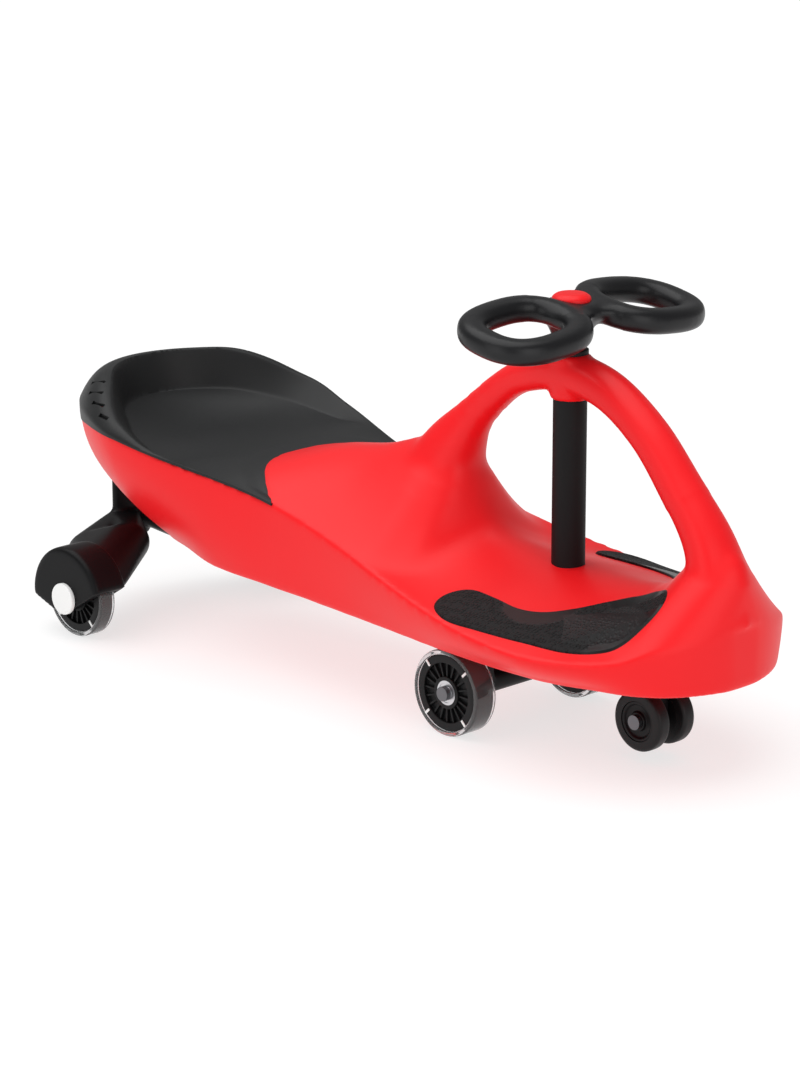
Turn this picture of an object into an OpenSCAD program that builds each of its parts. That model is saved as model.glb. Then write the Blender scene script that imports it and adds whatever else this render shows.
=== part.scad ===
// Wiggle car: a ride-on toy that is driven by swinging its steering wheel from side to side.
// Millimetres. +X points to the nose, +Y to the rider's left, +Z up from the ground.

/* [Body] */
// Length of the moulded body from tail to nose
body_len = 796; // [770:1:830]
// Ground clearance under the flat belly
floor_z = 84; // [83:0.5:92]
// Width across the seat rim
seat_w = 264; // [246:1:284]
// Width at the waist, just ahead of the seat
waist_w = 198; // [184:1:214]
// Width across the foot deck
deck_w = 276; // [256:1:290]
// Height of the crest round the back of the seat
tail_z = 240; // [230:1:250]
// Height of the rim at the seat's front corners
corner_z = 169; // [160:1:178]
// Height of the rim beside the foot deck
deck_rim_z = 115; // [108:1:122]
// Height of the rim at the tip of the nose
nose_rim_z = 138; // [132:1:146]
// Height of the deck where the column comes through
deck_z = 150; // [145:1:156]
// Distance from the nose back to the steering column
nose_to_column = 196; // [188:1:204]
// How far the widest part of the deck lies ahead of the column
deck_ahead = 63; // [50:1:76]

/* [Seat] */
// Distance from the tail to the widest part of the seat
seat_reach = 142; // [130:1:156]
// Distance from the tail to the seat's front corners
seat_len = 327; // [310:1:345]
// How far the body's tongue reaches back between the front corners
tongue_len = 71; // [55:1:85]
// Height of the middle of the seat pan
pan_z = 186; // [180:1:192]
// Height of the foot of the wall behind the pan
foot_z = 208; // [202:1:214]
// Thickness of the seat insert at its front
seat_t = 4; // [3:0.5:6]
// Thickness of the seat insert at the tail
seat_tail_t = 20; // [14:0.5:24]
// Gap between the seat insert and the body under it
seat_gap = 0.2; // [0.1:0.05:0.4]
// Width of a slot in the rear rim
slot_w = 2.6; // [2:0.1:3.4]

/* [Arch] */
// Height of the arch's centre line at its crown
crown_arch_z = 321; // [316:1:326]
// Run of the rear leg from the column to its foot
rear_leg_run = 139; // [132:1:144]
// Run of the front leg from the column to its foot
front_leg_run = 167; // [160:1:172]
// Thickness of the arch at its crown
arch_t = 31; // [29:1:36]
// Width of the arch at its crown
arch_w = 38; // [37:1:46]
// Diameter of the boss that carries the column in the arch
boss_d = 36; // [35:1:40]

/* [Column] */
// Diameter of the steel steering column
column_d = 20; // [18:0.5:21]
// Wall of the steering column
column_wall = 2.5; // [2:0.25:3]
// Outer diameter of the sleeve round the column
sleeve_d = 29.5; // [28:0.5:31]
// Wall of the sleeve
sleeve_wall = 2.2; // [1.8:0.1:2.8]
// Running clearance, all round, of the column in its bushes
bush_clear = 0.05; // [0.02:0.01:0.08]
// Wall of the bushes
bush_wall = 3; // [2.5:0.25:3.5]

/* [Steering wheel] */
// Height of the middle of the hand loops
wheel_z = 371; // [366:1:378]
// Distance from the column to the middle of each loop, across the car
loop_y = 70; // [66:1:76]
// How far the loops lie ahead of the column
loop_ahead = 14; // [8:1:18]
// Outside length of a loop, across the car
loop_len = 120; // [112:1:126]
// Outside width of a loop, along the car
loop_w = 100; // [92:1:106]
// Width of the grip, in the plane of its loop
grip_w = 27; // [24:0.5:29]
// Height of the grip
grip_h = 21; // [19:0.5:24]
// Diameter of the round cap on the wheel's hub
cap_d = 34; // [32:1:38]

/* [Wheels] */
// Diameter of the road wheels
wheel_d = 78; // [74:1:80]
// Width of the front wheels
wheel_w = 24; // [22:1:26]
// Width of the rear wheels
rear_wheel_w = 17; // [17:0.5:22]
// Diameter of the wheel core inside its tyre
core_d = 61; // [56:1:64]
// Ribs on the face of a wheel core
core_ribs = 20; // [12:1:24]
// Diameter of the axles
axle_d = 8; // [7:0.5:9]
// Outer diameter of the wheel bearings
bearing_d = 22; // [20:1:24]
// Width of the wheel bearings
bearing_w = 7; // [6:0.5:8]
// Running clearance, all round, between an axle and what turns on it
axle_clear = 0.04; // [0.02:0.01:0.08]
// Gap between pieces that turn past each other
run_gap = 0.3; // [0.2:0.05:0.5]

/* [Front arm] */
// How far the front axle trails behind the column
front_trail = 60; // [54:1:66]
// Distance between the middles of the front wheels
front_track = 156; // [148:1:166]
// How far the safety wheels lie ahead of the column
safety_reach = 104; // [96:1:110]
// Diameter of the safety wheels
safety_d = 54; // [48:1:56]
// Width of the safety wheels
safety_w = 14; // [12:1:16]
// Height of the safety wheels above the ground
safety_lift = 10; // [8:0.5:12]
// Thickness of the arm's plate
arm_t = 9; // [8:0.5:10]

/* [Rear bracket] */
// Distance from the tail to the rear axle
rear_axle_in = 90; // [84:1:98]
// Distance between the middles of the rear wheels
rear_track = 255; // [246:1:262]
// Width of the bracket's stem, across the car
stem_w = 44; // [40:1:46]
// Length of the bracket's stem, along the car
stem_l = 20; // [18:1:22]
// Wall of the wheel housings
housing_wall = 5; // [4:0.5:6]
// Gap between a rear wheel and its housing
housing_gap = 2.5; // [2:0.5:4]
// Diameter of the hub caps
hub_cap_d = 30; // [26:1:32]

/* [Hidden] */
$fn = 64;

// Stations along the car
tail_x = -body_len / 2;
nose_x = body_len / 2;
seat_x = tail_x + seat_reach;
corner_x = tail_x + seat_len;
tongue_x = corner_x - tongue_len;
column_x = nose_x - nose_to_column;
deck_x = column_x + deck_ahead;
hump_x = column_x - rear_leg_run - 8;
stern_x = tail_x + 68;
leg_x = column_x + front_leg_run;

// Shape of the moulding's ends and edges
end_blunt = 1;
tail_round = 1.65;
nose_round = 1.8;
belly_rise = 5;
belly_camber = 1.5;
tail_h = 40;
stern_power = 3;
chine_r = 7;
ridge_soft = 0.15;
tongue_bend = 2.2;

// Small helpers
function clamp(t, low = 0, high = 1) = min(max(t, low), high);
function ease(t) = let (c = clamp(t)) c * c * (3 - 2 * c);
function mix(a, b, t) = a + (b - a) * t;

// A smooth curve through knots of [position, value]
function knot_at(k, x, i = 0) = i >= len(k) - 2 || x < k[i + 1][0] ? i : knot_at(k, x, i + 1);
function knot_slope(k, i) =
    let (a = max(i - 1, 0), b = min(i + 1, len(k) - 1))
    (k[b][1] - k[a][1]) / (k[b][0] - k[a][0]);
function curve(k, position) =
    let (
        x = clamp(position, k[0][0], k[len(k) - 1][0]),
        i = knot_at(k, x),
        h = k[i + 1][0] - k[i][0],
        t = (x - k[i][0]) / h
    )
    k[i][1] * (2 * t ^ 3 - 3 * t ^ 2 + 1) + h * knot_slope(k, i) * (t ^ 3 - 2 * t ^ 2 + t)
    + k[i + 1][1] * (3 * t ^ 2 - 2 * t ^ 3) + h * knot_slope(k, i + 1) * (t ^ 3 - t ^ 2);

// Half width and height of the rim, which is the widest line round the body
function end_fullness(run, reach, power) = sqrt(1 - (run / (reach + end_blunt)) ^ power);
function rim_w(x) =
    x < seat_x ? seat_w / 2 * end_fullness(seat_x - max(x, tail_x), seat_reach, tail_round)
    : x < corner_x ? mix(seat_w, waist_w, ease((x - seat_x) / (corner_x - seat_x))) / 2
    : x < deck_x ? mix(waist_w, deck_w, ease((x - corner_x) / (deck_x - corner_x))) / 2
    : deck_w / 2 * end_fullness(min(x, nose_x) - deck_x, nose_x - deck_x, nose_round);
rim_knots = [
    [tail_x, tail_z - 16], [tail_x + 31, tail_z - 24], [tail_x + 61, tail_z - 27], [tail_x + 93, tail_z - 29],
    [seat_x, corner_z + 35], [seat_x + 16, corner_z + 32], [corner_x, corner_z],
    [deck_x, deck_rim_z], [nose_x - 55, deck_rim_z + 3], [nose_x - 32, nose_rim_z - 12],
    [nose_x - 9, nose_rim_z - 7], [nose_x, nose_rim_z]
];
function rim_z(x) = curve(rim_knots, x);

// Height of the belly, which sweeps up to the tail
function belly_z(x) =
    let (
        low = floor_z + belly_rise * clamp((column_x - front_trail - x) / (column_x - stern_x)),
        u = clamp((stern_x - x) / (stern_x - tail_x))
    )
    mix(low, tail_z - tail_h, 1 - pow(1 - u ^ stern_power, 1 / stern_power));

// How far the belly's edge is tucked in under the rim
tuck_knots = [
    [tail_x, 3], [tail_x + 13, 32], [stern_x, 80], [seat_x + 17, 66], [corner_x - 81, 20], [corner_x + 11, 2],
    [column_x - 52, 15], [deck_x + 50, 24], [nose_x - 41, 10], [nose_x - 20, 4], [nose_x, 2]
];
function keel_w(x) = rim_w(x) - curve(tuck_knots, x);

// Height of the top along the middle, ahead of the seat: tongue, hump, deck and nose
crown_knots = [
    [tongue_x - 60, pan_z], [tongue_x, pan_z + 3], [tongue_x + 57, pan_z + 18],
    [hump_x - 73, pan_z + 32], [hump_x - 24, pan_z + 50], [hump_x, pan_z + 57],
    [hump_x + 18, pan_z + 52], [hump_x + 30, pan_z + 39], [hump_x + 37, pan_z + 18],
    [hump_x + 44, deck_z + 34], [hump_x + 52, deck_z + 21], [hump_x + 68, deck_z + 11],
    [hump_x + 95, deck_z + 6],
    [column_x - 12, deck_z + 3], [column_x + 48, deck_z], [leg_x - 59, deck_z + 6],
    [leg_x - 34, deck_z + 20], [leg_x - 19, deck_z + 38], [leg_x - 3, deck_z + 54],
    [nose_x - 16, deck_z + 61], [nose_x - 6, deck_z + 48], [nose_x, deck_z + 26]
];
// How flat the top is across its middle, and how steeply its ridge falls away
flat_knots = [
    [tongue_x - 60, 2], [tongue_x, 1.6], [hump_x, 1.1], [column_x, 1.1], [deck_x, 1.05], [leg_x - 35, 1.1],
    [nose_x, 1.1]
];
steep_knots = [
    [tongue_x - 60, 1], [tongue_x, 1.15], [hump_x, 1.5], [hump_x + 36, 2.3], [hump_x + 60, 2],
    [column_x - 12, 1.15], [deck_x, 1], [leg_x - 30, 1.5], [leg_x - 6, 1.2], [nose_x, 1]
];
function soft(v) = (sqrt(v ^ 2 + ridge_soft ^ 2) - ridge_soft) / (sqrt(1 + ridge_soft ^ 2) - ridge_soft);
function ridge_z(x, v) =
    let (fall = pow(max(1 - pow(soft(min(v, 1)), curve(flat_knots, x)), 0), curve(steep_knots, x)))
    mix(rim_z(x), curve(crown_knots, x), fall);

// The seat bowl, in rings from 0 in its middle to 1 at the rim: floor, wall, crest and a band outside it
foot_ring = [
    [tail_x, 0.6], [tail_x + 84, 0.605], [seat_x - 33, 0.645], [seat_x - 12, 0.69], [seat_x + 13, 0.77],
    [seat_x + 46, 0.86], [seat_x + 86, 0.93]
];
crest_ring = [
    [tail_x, 0.82], [tail_x + 48, 0.78], [seat_x - 54, 0.78], [seat_x - 24, 0.84], [seat_x + 10, 0.92],
    [seat_x + 41, 0.96], [seat_x + 86, 0.985]
];
foot_height = [
    [tail_x, foot_z], [tail_x + 84, foot_z], [seat_x - 33, foot_z - 3], [seat_x - 12, foot_z - 7],
    [seat_x + 13, foot_z - 12], [seat_x + 46, foot_z - 18], [seat_x + 86, pan_z]
];
crest_height = [
    [tail_x, tail_z], [tail_x + 48, tail_z + 2], [tail_x + 73, tail_z + 2], [seat_x - 48, tail_z - 4],
    [seat_x - 17, tail_z - 18], [seat_x + 10, tail_z - 28], [seat_x + 41, corner_z + 31],
    [seat_x + 86, corner_z + 20]
];
wall_power = 1.7;
band_power = 1.3;
function ring_at(x, v) =
    let (u = x < seat_x ? ((seat_x - max(x, tail_x)) / (seat_reach + end_blunt)) ^ tail_round : 0)
    sqrt(u + (1 - u) * min(v, 1) ^ 2);
function bowl_z(x, v) =
    let (
        r = ring_at(x, v),
        foot = curve(foot_ring, x),
        crest = curve(crest_ring, x),
        low = curve(foot_height, x),
        high = curve(crest_height, x)
    )
    r < foot ? mix(pan_z, low, (r / foot) ^ 2)
    : r < crest ? mix(low, high, 1 - (1 - (r - foot) / (crest - foot)) ^ wall_power)
    : mix(high, rim_z(x), ((r - crest) / (1 - crest)) ^ band_power);
bowl_end = tongue_x - 5;
bowl_blend = 55;
function top_z(x, v) =
    let (t = ease((x - bowl_end + bowl_blend) / bowl_blend))
    mix(t < 1 ? bowl_z(x, v) : 0, t > 0 ? ridge_z(x, v) : 0, t);
function deck_at(x, y) = top_z(x, abs(y) / rim_w(x));

// One half of a cross-section, from the middle of the belly round to the middle of the top
top_steps = [0.95, 0.88, 0.78, 0.66, 0.54, 0.42, 0.31, 0.2, 0.1, 0];
side_steps = [0, 0.2, 0.42, 0.7, 1];
function half_section(x) =
    let (w = rim_w(x), k = keel_w(x), low = belly_z(x), high = rim_z(x), r = min(chine_r, k / 3))
    concat(
        [for (y = [0, 0.55 * k, k - r]) [y, low + belly_camber * (y / k) ^ 2]],
        [[k - 0.3 * r, low + belly_camber + 0.3 * r]],
        [for (s = side_steps) [mix(k, w, 1 - (1 - s) ^ 2), mix(low + belly_camber + r, high, s)]],
        [for (v = top_steps) [w * v, top_z(x, v)]]
    );
function section(x) =
    let (h = half_section(x), n = len(h))
    concat([for (p = h) [x, -p[0], p[1]]], [for (i = [n - 2:-1:1]) [x, h[i][0], h[i][1]]]);
end_steps = [0, 3, 8, 15, 25, 36, 48, 62, 80];
// Stations lie closer where the hump drops to the deck
drop_steps = [20, 29, 36, 42, 49, 58, 72];
station_gap = 20;
function spread(from, to) =
    let (n = round((to - from) / station_gap)) [for (i = [1:n - 1]) mix(from, to, i / n)];
stations = concat(
    [for (s = end_steps) tail_x + s],
    spread(tail_x + max(end_steps), hump_x + min(drop_steps)),
    [for (s = drop_steps) hump_x + s],
    spread(hump_x + max(drop_steps), nose_x - max(end_steps)),
    [for (i = [len(end_steps) - 1:-1:0]) nose_x - end_steps[i]]
);

// Skin over a row of closed rings, with flat ends or joined end to end
function ring_faces(rows, count, closed) =
    [for (i = [0:rows - (closed ? 1 : 2)], j = [0:count - 1])
        let (a = i * count + j, b = i * count + (j + 1) % count,
             c = ((i + 1) % rows) * count + j, d = ((i + 1) % rows) * count + (j + 1) % count)
        each [[a, d, c], [a, b, d]]];
module loft(rings, closed = false) {
    rows = len(rings);
    count = len(rings[0]);
    ends = closed ? [] : [
        [for (j = [count - 1:-1:0]) j],
        [for (j = [0:count - 1]) (rows - 1) * count + j]
    ];
    polyhedron([for (r = rings) each r], concat(ring_faces(rows, count, closed), ends), convexity = 8);
}
// A curved slab: each row of points is a strip of the upper face, with the lower face under it
module slab(upper, low) {
    rows = len(upper);
    half = len(upper[0]);
    count = 2 * half;
    last = (rows - 1) * count;
    ends = [for (j = [0:half - 2])
        let (k = count - 1 - j)
        each [[j, k, k - 1], [j, k - 1, j + 1],
              [last + j, last + k - 1, last + k], [last + j, last + j + 1, last + k - 1]]];
    points = [for (row = upper) each concat(
        row,
        [for (j = [half - 1:-1:0]) [row[j][0], row[j][1], low(row[j])]]
    )];
    polyhedron(points, concat(ring_faces(rows, count, false), ends), convexity = 8);
}

// Seat insert and the bed it lies in
seat_rows = [
    0, 0.012, 0.03, 0.055, 0.085, 0.12, 0.155, 0.19, 0.23, 0.28, 0.34, 0.42, 0.52, 0.64, 0.78, 0.9, 1
];
seat_cols = [0.16, 0.32, 0.48, 0.6, 0.7, 0.78, 0.85, 0.92, 1];
seat_span = concat([for (i = [len(seat_cols) - 1:-1:0]) -seat_cols[i]], [0], seat_cols);
function front_edge(v) = tongue_x + tongue_len * pow(min(abs(v), 1), tongue_bend);
function seat_t_at(x) = mix(seat_tail_t, seat_t, ease((x - tail_x) / (seat_reach + 60)));
function seat_row(u, spread) =
    [for (v = spread) let (x = mix(tail_x, front_edge(v), u)) [x, v * rim_w(x), top_z(x, abs(v))]];
bed_over = 1.12;
bed_span = concat([-bed_over], seat_span, [bed_over]);
bed_back = 6;
bed_top = tail_z + 20;
function bed_row(u) = [for (p = seat_row(u, bed_span)) [p[0], p[1], bed_top]];
function bed_low(p) = top_z(p[0], abs(p[1]) / rim_w(p[0])) - seat_t_at(p[0]) - seat_gap;
function seat_low(p) = p[2] - seat_t_at(p[0]);
module seat_bed() {
    first = bed_row(0);
    behind = [for (p = first) p - [bed_back, 0, 0]];
    slab(concat([behind], [for (u = seat_rows) bed_row(u)]), function(p) bed_low(p));
}
slot_count = 4;
slot_turn = [31, 58];
slot_rings = [0.89, 0.965];
slot_depth = 3;
slot_high = 20;
function ring_point(ring, turn) =
    let (
        x = seat_x - (seat_reach + end_blunt) * pow(ring * cos(turn), 2 / tail_round),
        y = seat_w / 2 * ring * sin(turn)
    )
    [x, y, top_z(x, y / rim_w(x))];
module rim_slots() {
    for (side = [0, 1], i = [0:slot_count - 1])
        mirror([0, side, 0])
            hull()
                for (ring = slot_rings)
                    translate(ring_point(ring, mix(slot_turn[0], slot_turn[1], i / (slot_count - 1))))
                        translate([0, 0, -slot_depth])
                            cylinder(d = slot_w, h = slot_depth + slot_high, $fn = 8);
}
module seat_insert() {
    color("#26282a")
        difference() {
            slab([for (u = seat_rows) seat_row(u, seat_span)], function(p) seat_low(p));
            rim_slots();
        }
}

// Arch over the foot deck: a tube along a smooth line over the column
arch_points = [
    [-rear_leg_run - 25, -125], [-rear_leg_run + 6, -91], [-0.81 * rear_leg_run, -57],
    [-0.54 * rear_leg_run, -21], [-0.29 * rear_leg_run, -6], [0, 0],
    [0.29 * front_leg_run, -8], [0.57 * front_leg_run, -36], [0.79 * front_leg_run, -76],
    [0.95 * front_leg_run, -114], [front_leg_run + 7, -150], [front_leg_run + 13, -185]
];
arch_parts = 2;
arch_last = arch_parts * (len(arch_points) - 1);
ring_sides = 16;
section_power = 2.6;
// How much the roof of the arch falls from its ridge to its shoulders
roof_fall = 0.22;
function open_at(pts, s) =
    let (n = len(pts) - 1, i = min(floor(s), n - 1), t = s - i,
         a = pts[max(i - 1, 0)], b = pts[i], c = pts[i + 1], d = pts[min(i + 2, n)])
    0.5 * (2 * b + (c - a) * t + (2 * a - 5 * b + 4 * c - d) * t ^ 2 + (3 * b - a - 3 * c + d) * t ^ 3);
arch_path = [for (i = [0:arch_last]) open_at(arch_points, i / arch_parts) + [column_x, crown_arch_z]];
// Half thickness and half width along the arch, from the rear root to the front root
thick_knots = [
    [0, 26], [0.09, 20], [0.18, 13], [0.27, 11.5], [0.45, arch_t / 2],
    [0.6, 14.5], [0.73, 15], [0.86, 18], [1, 24]
];
width_knots = [
    [0, 36], [0.09, 26], [0.18, 16], [0.27, 13], [0.45, arch_w / 2],
    [0.6, 18], [0.73, 19], [0.86, 23], [1, 30]
];
function power_trig(a, p) = sign(a) * pow(abs(a), 2 / p);
function arch_ring(i) =
    let (
        a = arch_path[max(i - 1, 0)],
        b = arch_path[min(i + 1, arch_last)],
        along = (b - a) / norm(b - a),
        out = [-along[1], along[0]],
        t = curve(thick_knots, i / arch_last),
        w = curve(width_knots, i / arch_last)
    )
    [for (j = [0:ring_sides - 1])
        let (
            turn = 360 * j / ring_sides,
            across = w * power_trig(cos(turn), section_power),
            fall = sin(turn) > 0 ? roof_fall * abs(cos(turn)) : 0,
            up = t * power_trig(sin(turn), section_power) * (1 - fall),
            p = arch_path[i] + out * up
        )
        [p[0], across, p[1]]];
module arch() {
    loft([for (i = [arch_last:-1:0]) arch_ring(i)]);
}

// Heights of what is stacked on the column
arm_gap = 2;
flange_t = 3.5;
arm_top = floor_z - arm_gap;
washer_t = arm_gap + 0.2;
belly_recess = flange_t + 0.5;
boss_low = crown_arch_z - 16;
boss_top = crown_arch_z + arch_t / 2 + 1.5;
bush_r = column_d / 2 + bush_clear + bush_wall;
flange_r = bush_r + 2.5;
seat_fit = 0.1;
sleeve_low = deck_z - 5;
sleeve_top = boss_low + 6;
lower_bush_top = deck_z - 12;
column_hole_r = column_d / 2 + 1.5;
column_low = arm_top - 11;
column_top = wheel_z + 6;

module body_shell() {
    color("#e0202a")
        difference() {
            union() {
                difference() {
                    loft([for (x = stations) section(x)]);
                    seat_bed();
                }
                arch();
                translate([column_x, 0, boss_low])
                    cylinder(d = boss_d, h = boss_top - boss_low);
            }
            translate([column_x, 0, floor_z - 1])
                cylinder(r = flange_r + seat_fit, h = belly_recess + 1);
            translate([column_x, 0, floor_z])
                cylinder(r = bush_r + seat_fit, h = lower_bush_top - floor_z);
            translate([column_x, 0, floor_z])
                cylinder(r = column_hole_r, h = boss_top);
            translate([column_x, 0, sleeve_low])
                cylinder(d = sleeve_d + 2 * seat_fit, h = sleeve_top - sleeve_low);
            translate([column_x, 0, upper_bush_low])
                cylinder(r = bush_r + seat_fit, h = boss_top);
            stem_socket();
            bolt_holes(seat_fit);
            pad_bed();
            mirror([0, 1, 0])
                pad_bed();
        }
}

// Foot pads: rubber skins on both sides of the deck
pad_t = 3;
pad_sink = 1.3;
pad_gap = 0.25;
pad_cell = 9;
// Outline of the right pad, as a distance ahead of the column and out from the middle
pad_outline = [
    [-54, 104], [-50, 88], [-36, 80], [-8, 82], [22, 85], [48, 78], [70, 62], [90, 42], [110, 29],
    [132, 28], [150, 38], [157, 52], [151, 70], [137, 95], [105, 113], [61, 121], [11, 125], [-22, 127],
    [-44, 119]
];
pad_rows = 20;
function loop_at(pts, s) =
    let (n = len(pts), i = floor(s), t = s - i,
         a = pts[(i + n - 1) % n], b = pts[i % n], c = pts[(i + 1) % n], d = pts[(i + 2) % n])
    0.5 * (2 * b + (c - a) * t + (2 * a - 5 * b + 4 * c - d) * t ^ 2 + (3 * b - a - 3 * c + d) * t ^ 3);
pad_smooth = 3;
module pad_prism(grow) {
    edge = [for (i = [0:pad_smooth * len(pad_outline) - 1]) loop_at(pad_outline, i / pad_smooth)];
    linear_extrude(2 * deck_z)
        offset(delta = grow)
            polygon([for (p = edge) [column_x + p[0], -p[1]]]);
}
pad_x = [column_x - 62, column_x + 160];
pad_y = [18, 132];
pad_cols = round((pad_y[1] - pad_y[0]) / pad_cell);
function pad_row(i, lift) =
    let (x = mix(pad_x[0], pad_x[1], i / pad_rows))
    [for (j = [0:pad_cols])
        let (y = mix(pad_y[0], pad_y[1], j / pad_cols)) [x, -y, deck_at(x, y) - pad_sink + lift]];
module pad_layer(low, high, grow) {
    intersection() {
        slab([for (i = [pad_rows:-1:0]) pad_row(i, high)], function(p) p[2] - high + low);
        pad_prism(grow);
    }
}
module foot_pad() {
    color("#1d1e20")
        pad_layer(0, pad_t, 0);
}
module pad_bed() {
    pad_layer(-pad_gap, 10 * pad_t, pad_gap);
}
module foot_pad_right() {
    foot_pad();
}
module foot_pad_left() {
    mirror([0, 1, 0])
        foot_pad();
}

// Column, its sleeve and its bushes
upper_bush_low = sleeve_top + 4;
module column_sleeve() {
    color("#1b1c1e")
        translate([column_x, 0, sleeve_low])
            difference() {
                cylinder(d = sleeve_d, h = sleeve_top - sleeve_low);
                translate([0, 0, -1])
                    cylinder(d = sleeve_d - 2 * sleeve_wall, h = sleeve_top);
            }
}
module bush(low, high, flange_low) {
    difference() {
        union() {
            translate([0, 0, low])
                cylinder(r = bush_r, h = high - low);
            translate([0, 0, flange_low])
                cylinder(r = flange_r, h = flange_t);
        }
        translate([0, 0, low - 1])
            cylinder(d = column_d + 2 * bush_clear, h = high - low + 2);
    }
}
module upper_bush() {
    color("#d9d9d4")
        translate([column_x, 0, 0])
            bush(upper_bush_low, boss_top + flange_t, boss_top);
}
module lower_bush() {
    color("#d9d9d4")
        translate([column_x, 0, 0])
            bush(floor_z + 0.5, lower_bush_top, floor_z + 0.5);
}
module column_tube() {
    color("#9a9da0")
        translate([column_x, 0, column_low])
            difference() {
                cylinder(d = column_d, h = column_top - column_low);
                translate([0, 0, -1])
                    cylinder(d = column_d - 2 * column_wall, h = column_top);
            }
}
module thrust_washer() {
    color("#c9c9c6")
        translate([column_x, 0, arm_top])
            difference() {
                cylinder(r = flange_r, h = washer_t);
                translate([0, 0, -1])
                    cylinder(d = column_d + 2 * bush_clear, h = washer_t + 2);
            }
}

// Steering wheel: a hub with two closed hand loops
loop_count = 30;
grip_sides = 12;
loop_power = 2.5;
// How much the loops fall outwards, and how steeply they fall towards the front
loop_droop = 3;
loop_pitch = 0.08;
neck_low = boss_top + flange_t + run_gap;
hub_top = wheel_z + 14;
neck_r = column_d / 2 + 4.5;
boss_r = column_d / 2 + 20;
web_t = 5;
cap_seat_z = column_top + web_t;
bolt_d = 8;
function loop_point(side, i) =
    let (
        turn = 360 * i / loop_count,
        a = (loop_len - grip_w) / 2,
        b = (loop_w - grip_w) / 2,
        out = a * power_trig(cos(turn), loop_power),
        ahead = loop_ahead + b * power_trig(sin(turn), loop_power)
    )
    [column_x + ahead, side * (loop_y + out), wheel_z - loop_droop * out / a - loop_pitch * ahead];
function loop_ring(side, i) =
    let (
        p = loop_point(side, i),
        run = loop_point(side, (i + 1) % loop_count) - loop_point(side, (i + loop_count - 1) % loop_count),
        along = run / norm(run),
        out = cross(along, [0, 0, 1]),
        flat = out / norm(out),
        up = cross(flat, along)
    )
    [for (j = [0:grip_sides - 1])
        let (turn = 360 * j / grip_sides) p + flat * grip_w / 2 * cos(turn) + up * grip_h / 2 * sin(turn)];
module hand_loop() {
    loft([for (i = [0:loop_count - 1]) loop_ring(1, i)], closed = true);
}
module steering_wheel() {
    color("#232527")
        difference() {
            union() {
                hand_loop();
                mirror([0, 1, 0])
                    hand_loop();
                translate([column_x, 0, 0])
                    rotate_extrude()
                        polygon([
                            [0, neck_low], [neck_r, neck_low], [neck_r + 1, neck_low + 8],
                            [neck_r + 6, wheel_z - 10], [boss_r, wheel_z - 2],
                            [boss_r, wheel_z + 6], [cap_d / 2 + 3, hub_top], [0, hub_top]
                        ]);
            }
            translate([column_x, 0, neck_low - 1])
                cylinder(d = column_d + 2 * bush_clear, h = column_top - neck_low + 1);
            translate([column_x, 0, column_top - 1])
                cylinder(d = bolt_d + 2 * seat_fit, h = web_t + 2);
            translate([column_x, 0, cap_seat_z])
                cylinder(d = cap_d + 2 * seat_fit, h = hub_top);
        }
}
cap_rise = 6;
module steering_cap() {
    color("#e0202a")
        translate([column_x, 0, cap_seat_z])
            difference() {
                rotate_extrude()
                    polygon(concat(
                        [[0, 0], [cap_d / 2, 0]],
                        [for (a = [0:15:90])
                            [cap_d / 2 * cos(a) ^ 0.6, hub_top - cap_seat_z + cap_rise * sin(a)]]
                    ));
                translate([0, 0, -1])
                    cylinder(d = bolt_head_d + 1, h = bolt_head_h + 1.3);
            }
}
bolt_head_d = 14;
bolt_head_h = 5.5;
module steering_bolt() {
    color("#b9bcc0")
        translate([column_x, 0, cap_seat_z]) {
            cylinder(d = bolt_head_d, h = bolt_head_h, $fn = 6);
            translate([0, 0, -30])
                cylinder(d = bolt_d, h = 31);
        }
}

// Swing arm under the body
front_x = column_x - front_trail;
safety_x = column_x + safety_reach;
safety_z = safety_d / 2 + safety_lift;
plate_top = arm_top - 1;
plate_low = plate_top - arm_t;
hub_r = 30;
front_wheel_in = front_track / 2 - wheel_w / 2;
tube_end = front_wheel_in - 5;
tube_r = axle_d / 2 + 7;
arm_cheek = 12;
lug_w = 12;
tongue_w = 34;
module swing_arm() {
    color("#1f2123")
        difference() {
            union() {
                translate([column_x, 0, column_low])
                    cylinder(r = hub_r - 6, h = arm_top - column_low);
                translate([0, 0, plate_low])
                    linear_extrude(arm_t)
                        polygon([
                            [front_x - 14, -tube_end + 6], [front_x + 14, -tube_end + 2],
                            [column_x, -hub_r], [column_x + 30, -tongue_w / 2],
                            [safety_x + 10, -lug_w / 2 - 3], [safety_x + 10, lug_w / 2 + 3],
                            [column_x + 30, tongue_w / 2], [column_x, hub_r],
                            [front_x + 14, tube_end - 2], [front_x - 14, tube_end - 6]
                        ]);
                translate([front_x, tube_end, wheel_d / 2])
                    rotate([90, 0, 0])
                        cylinder(r = tube_r, h = 2 * tube_end);
                for (side = [-1, 1])
                    translate([front_x - 11, side * (tube_end - 16) - arm_cheek / 2, wheel_d / 2])
                        cube([22, arm_cheek, plate_low - wheel_d / 2 + 1]);
                translate([safety_x, lug_w / 2, safety_z])
                    rotate([90, 0, 0])
                        cylinder(r = tube_r, h = lug_w);
                translate([safety_x - tube_r, -lug_w / 2, safety_z])
                    cube([2 * tube_r, lug_w, plate_low - safety_z + 1]);
            }
            translate([column_x, 0, column_low - 1])
                cylinder(d = column_d + 2 * bush_clear, h = arm_top);
            translate([front_x, tube_end + 1, wheel_d / 2])
                rotate([90, 0, 0])
                    cylinder(d = axle_d + 2 * axle_clear, h = 2 * tube_end + 2);
            translate([safety_x, lug_w, safety_z])
                rotate([90, 0, 0])
                    cylinder(d = axle_d + 2 * axle_clear, h = 2 * lug_w);
        }
}
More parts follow.
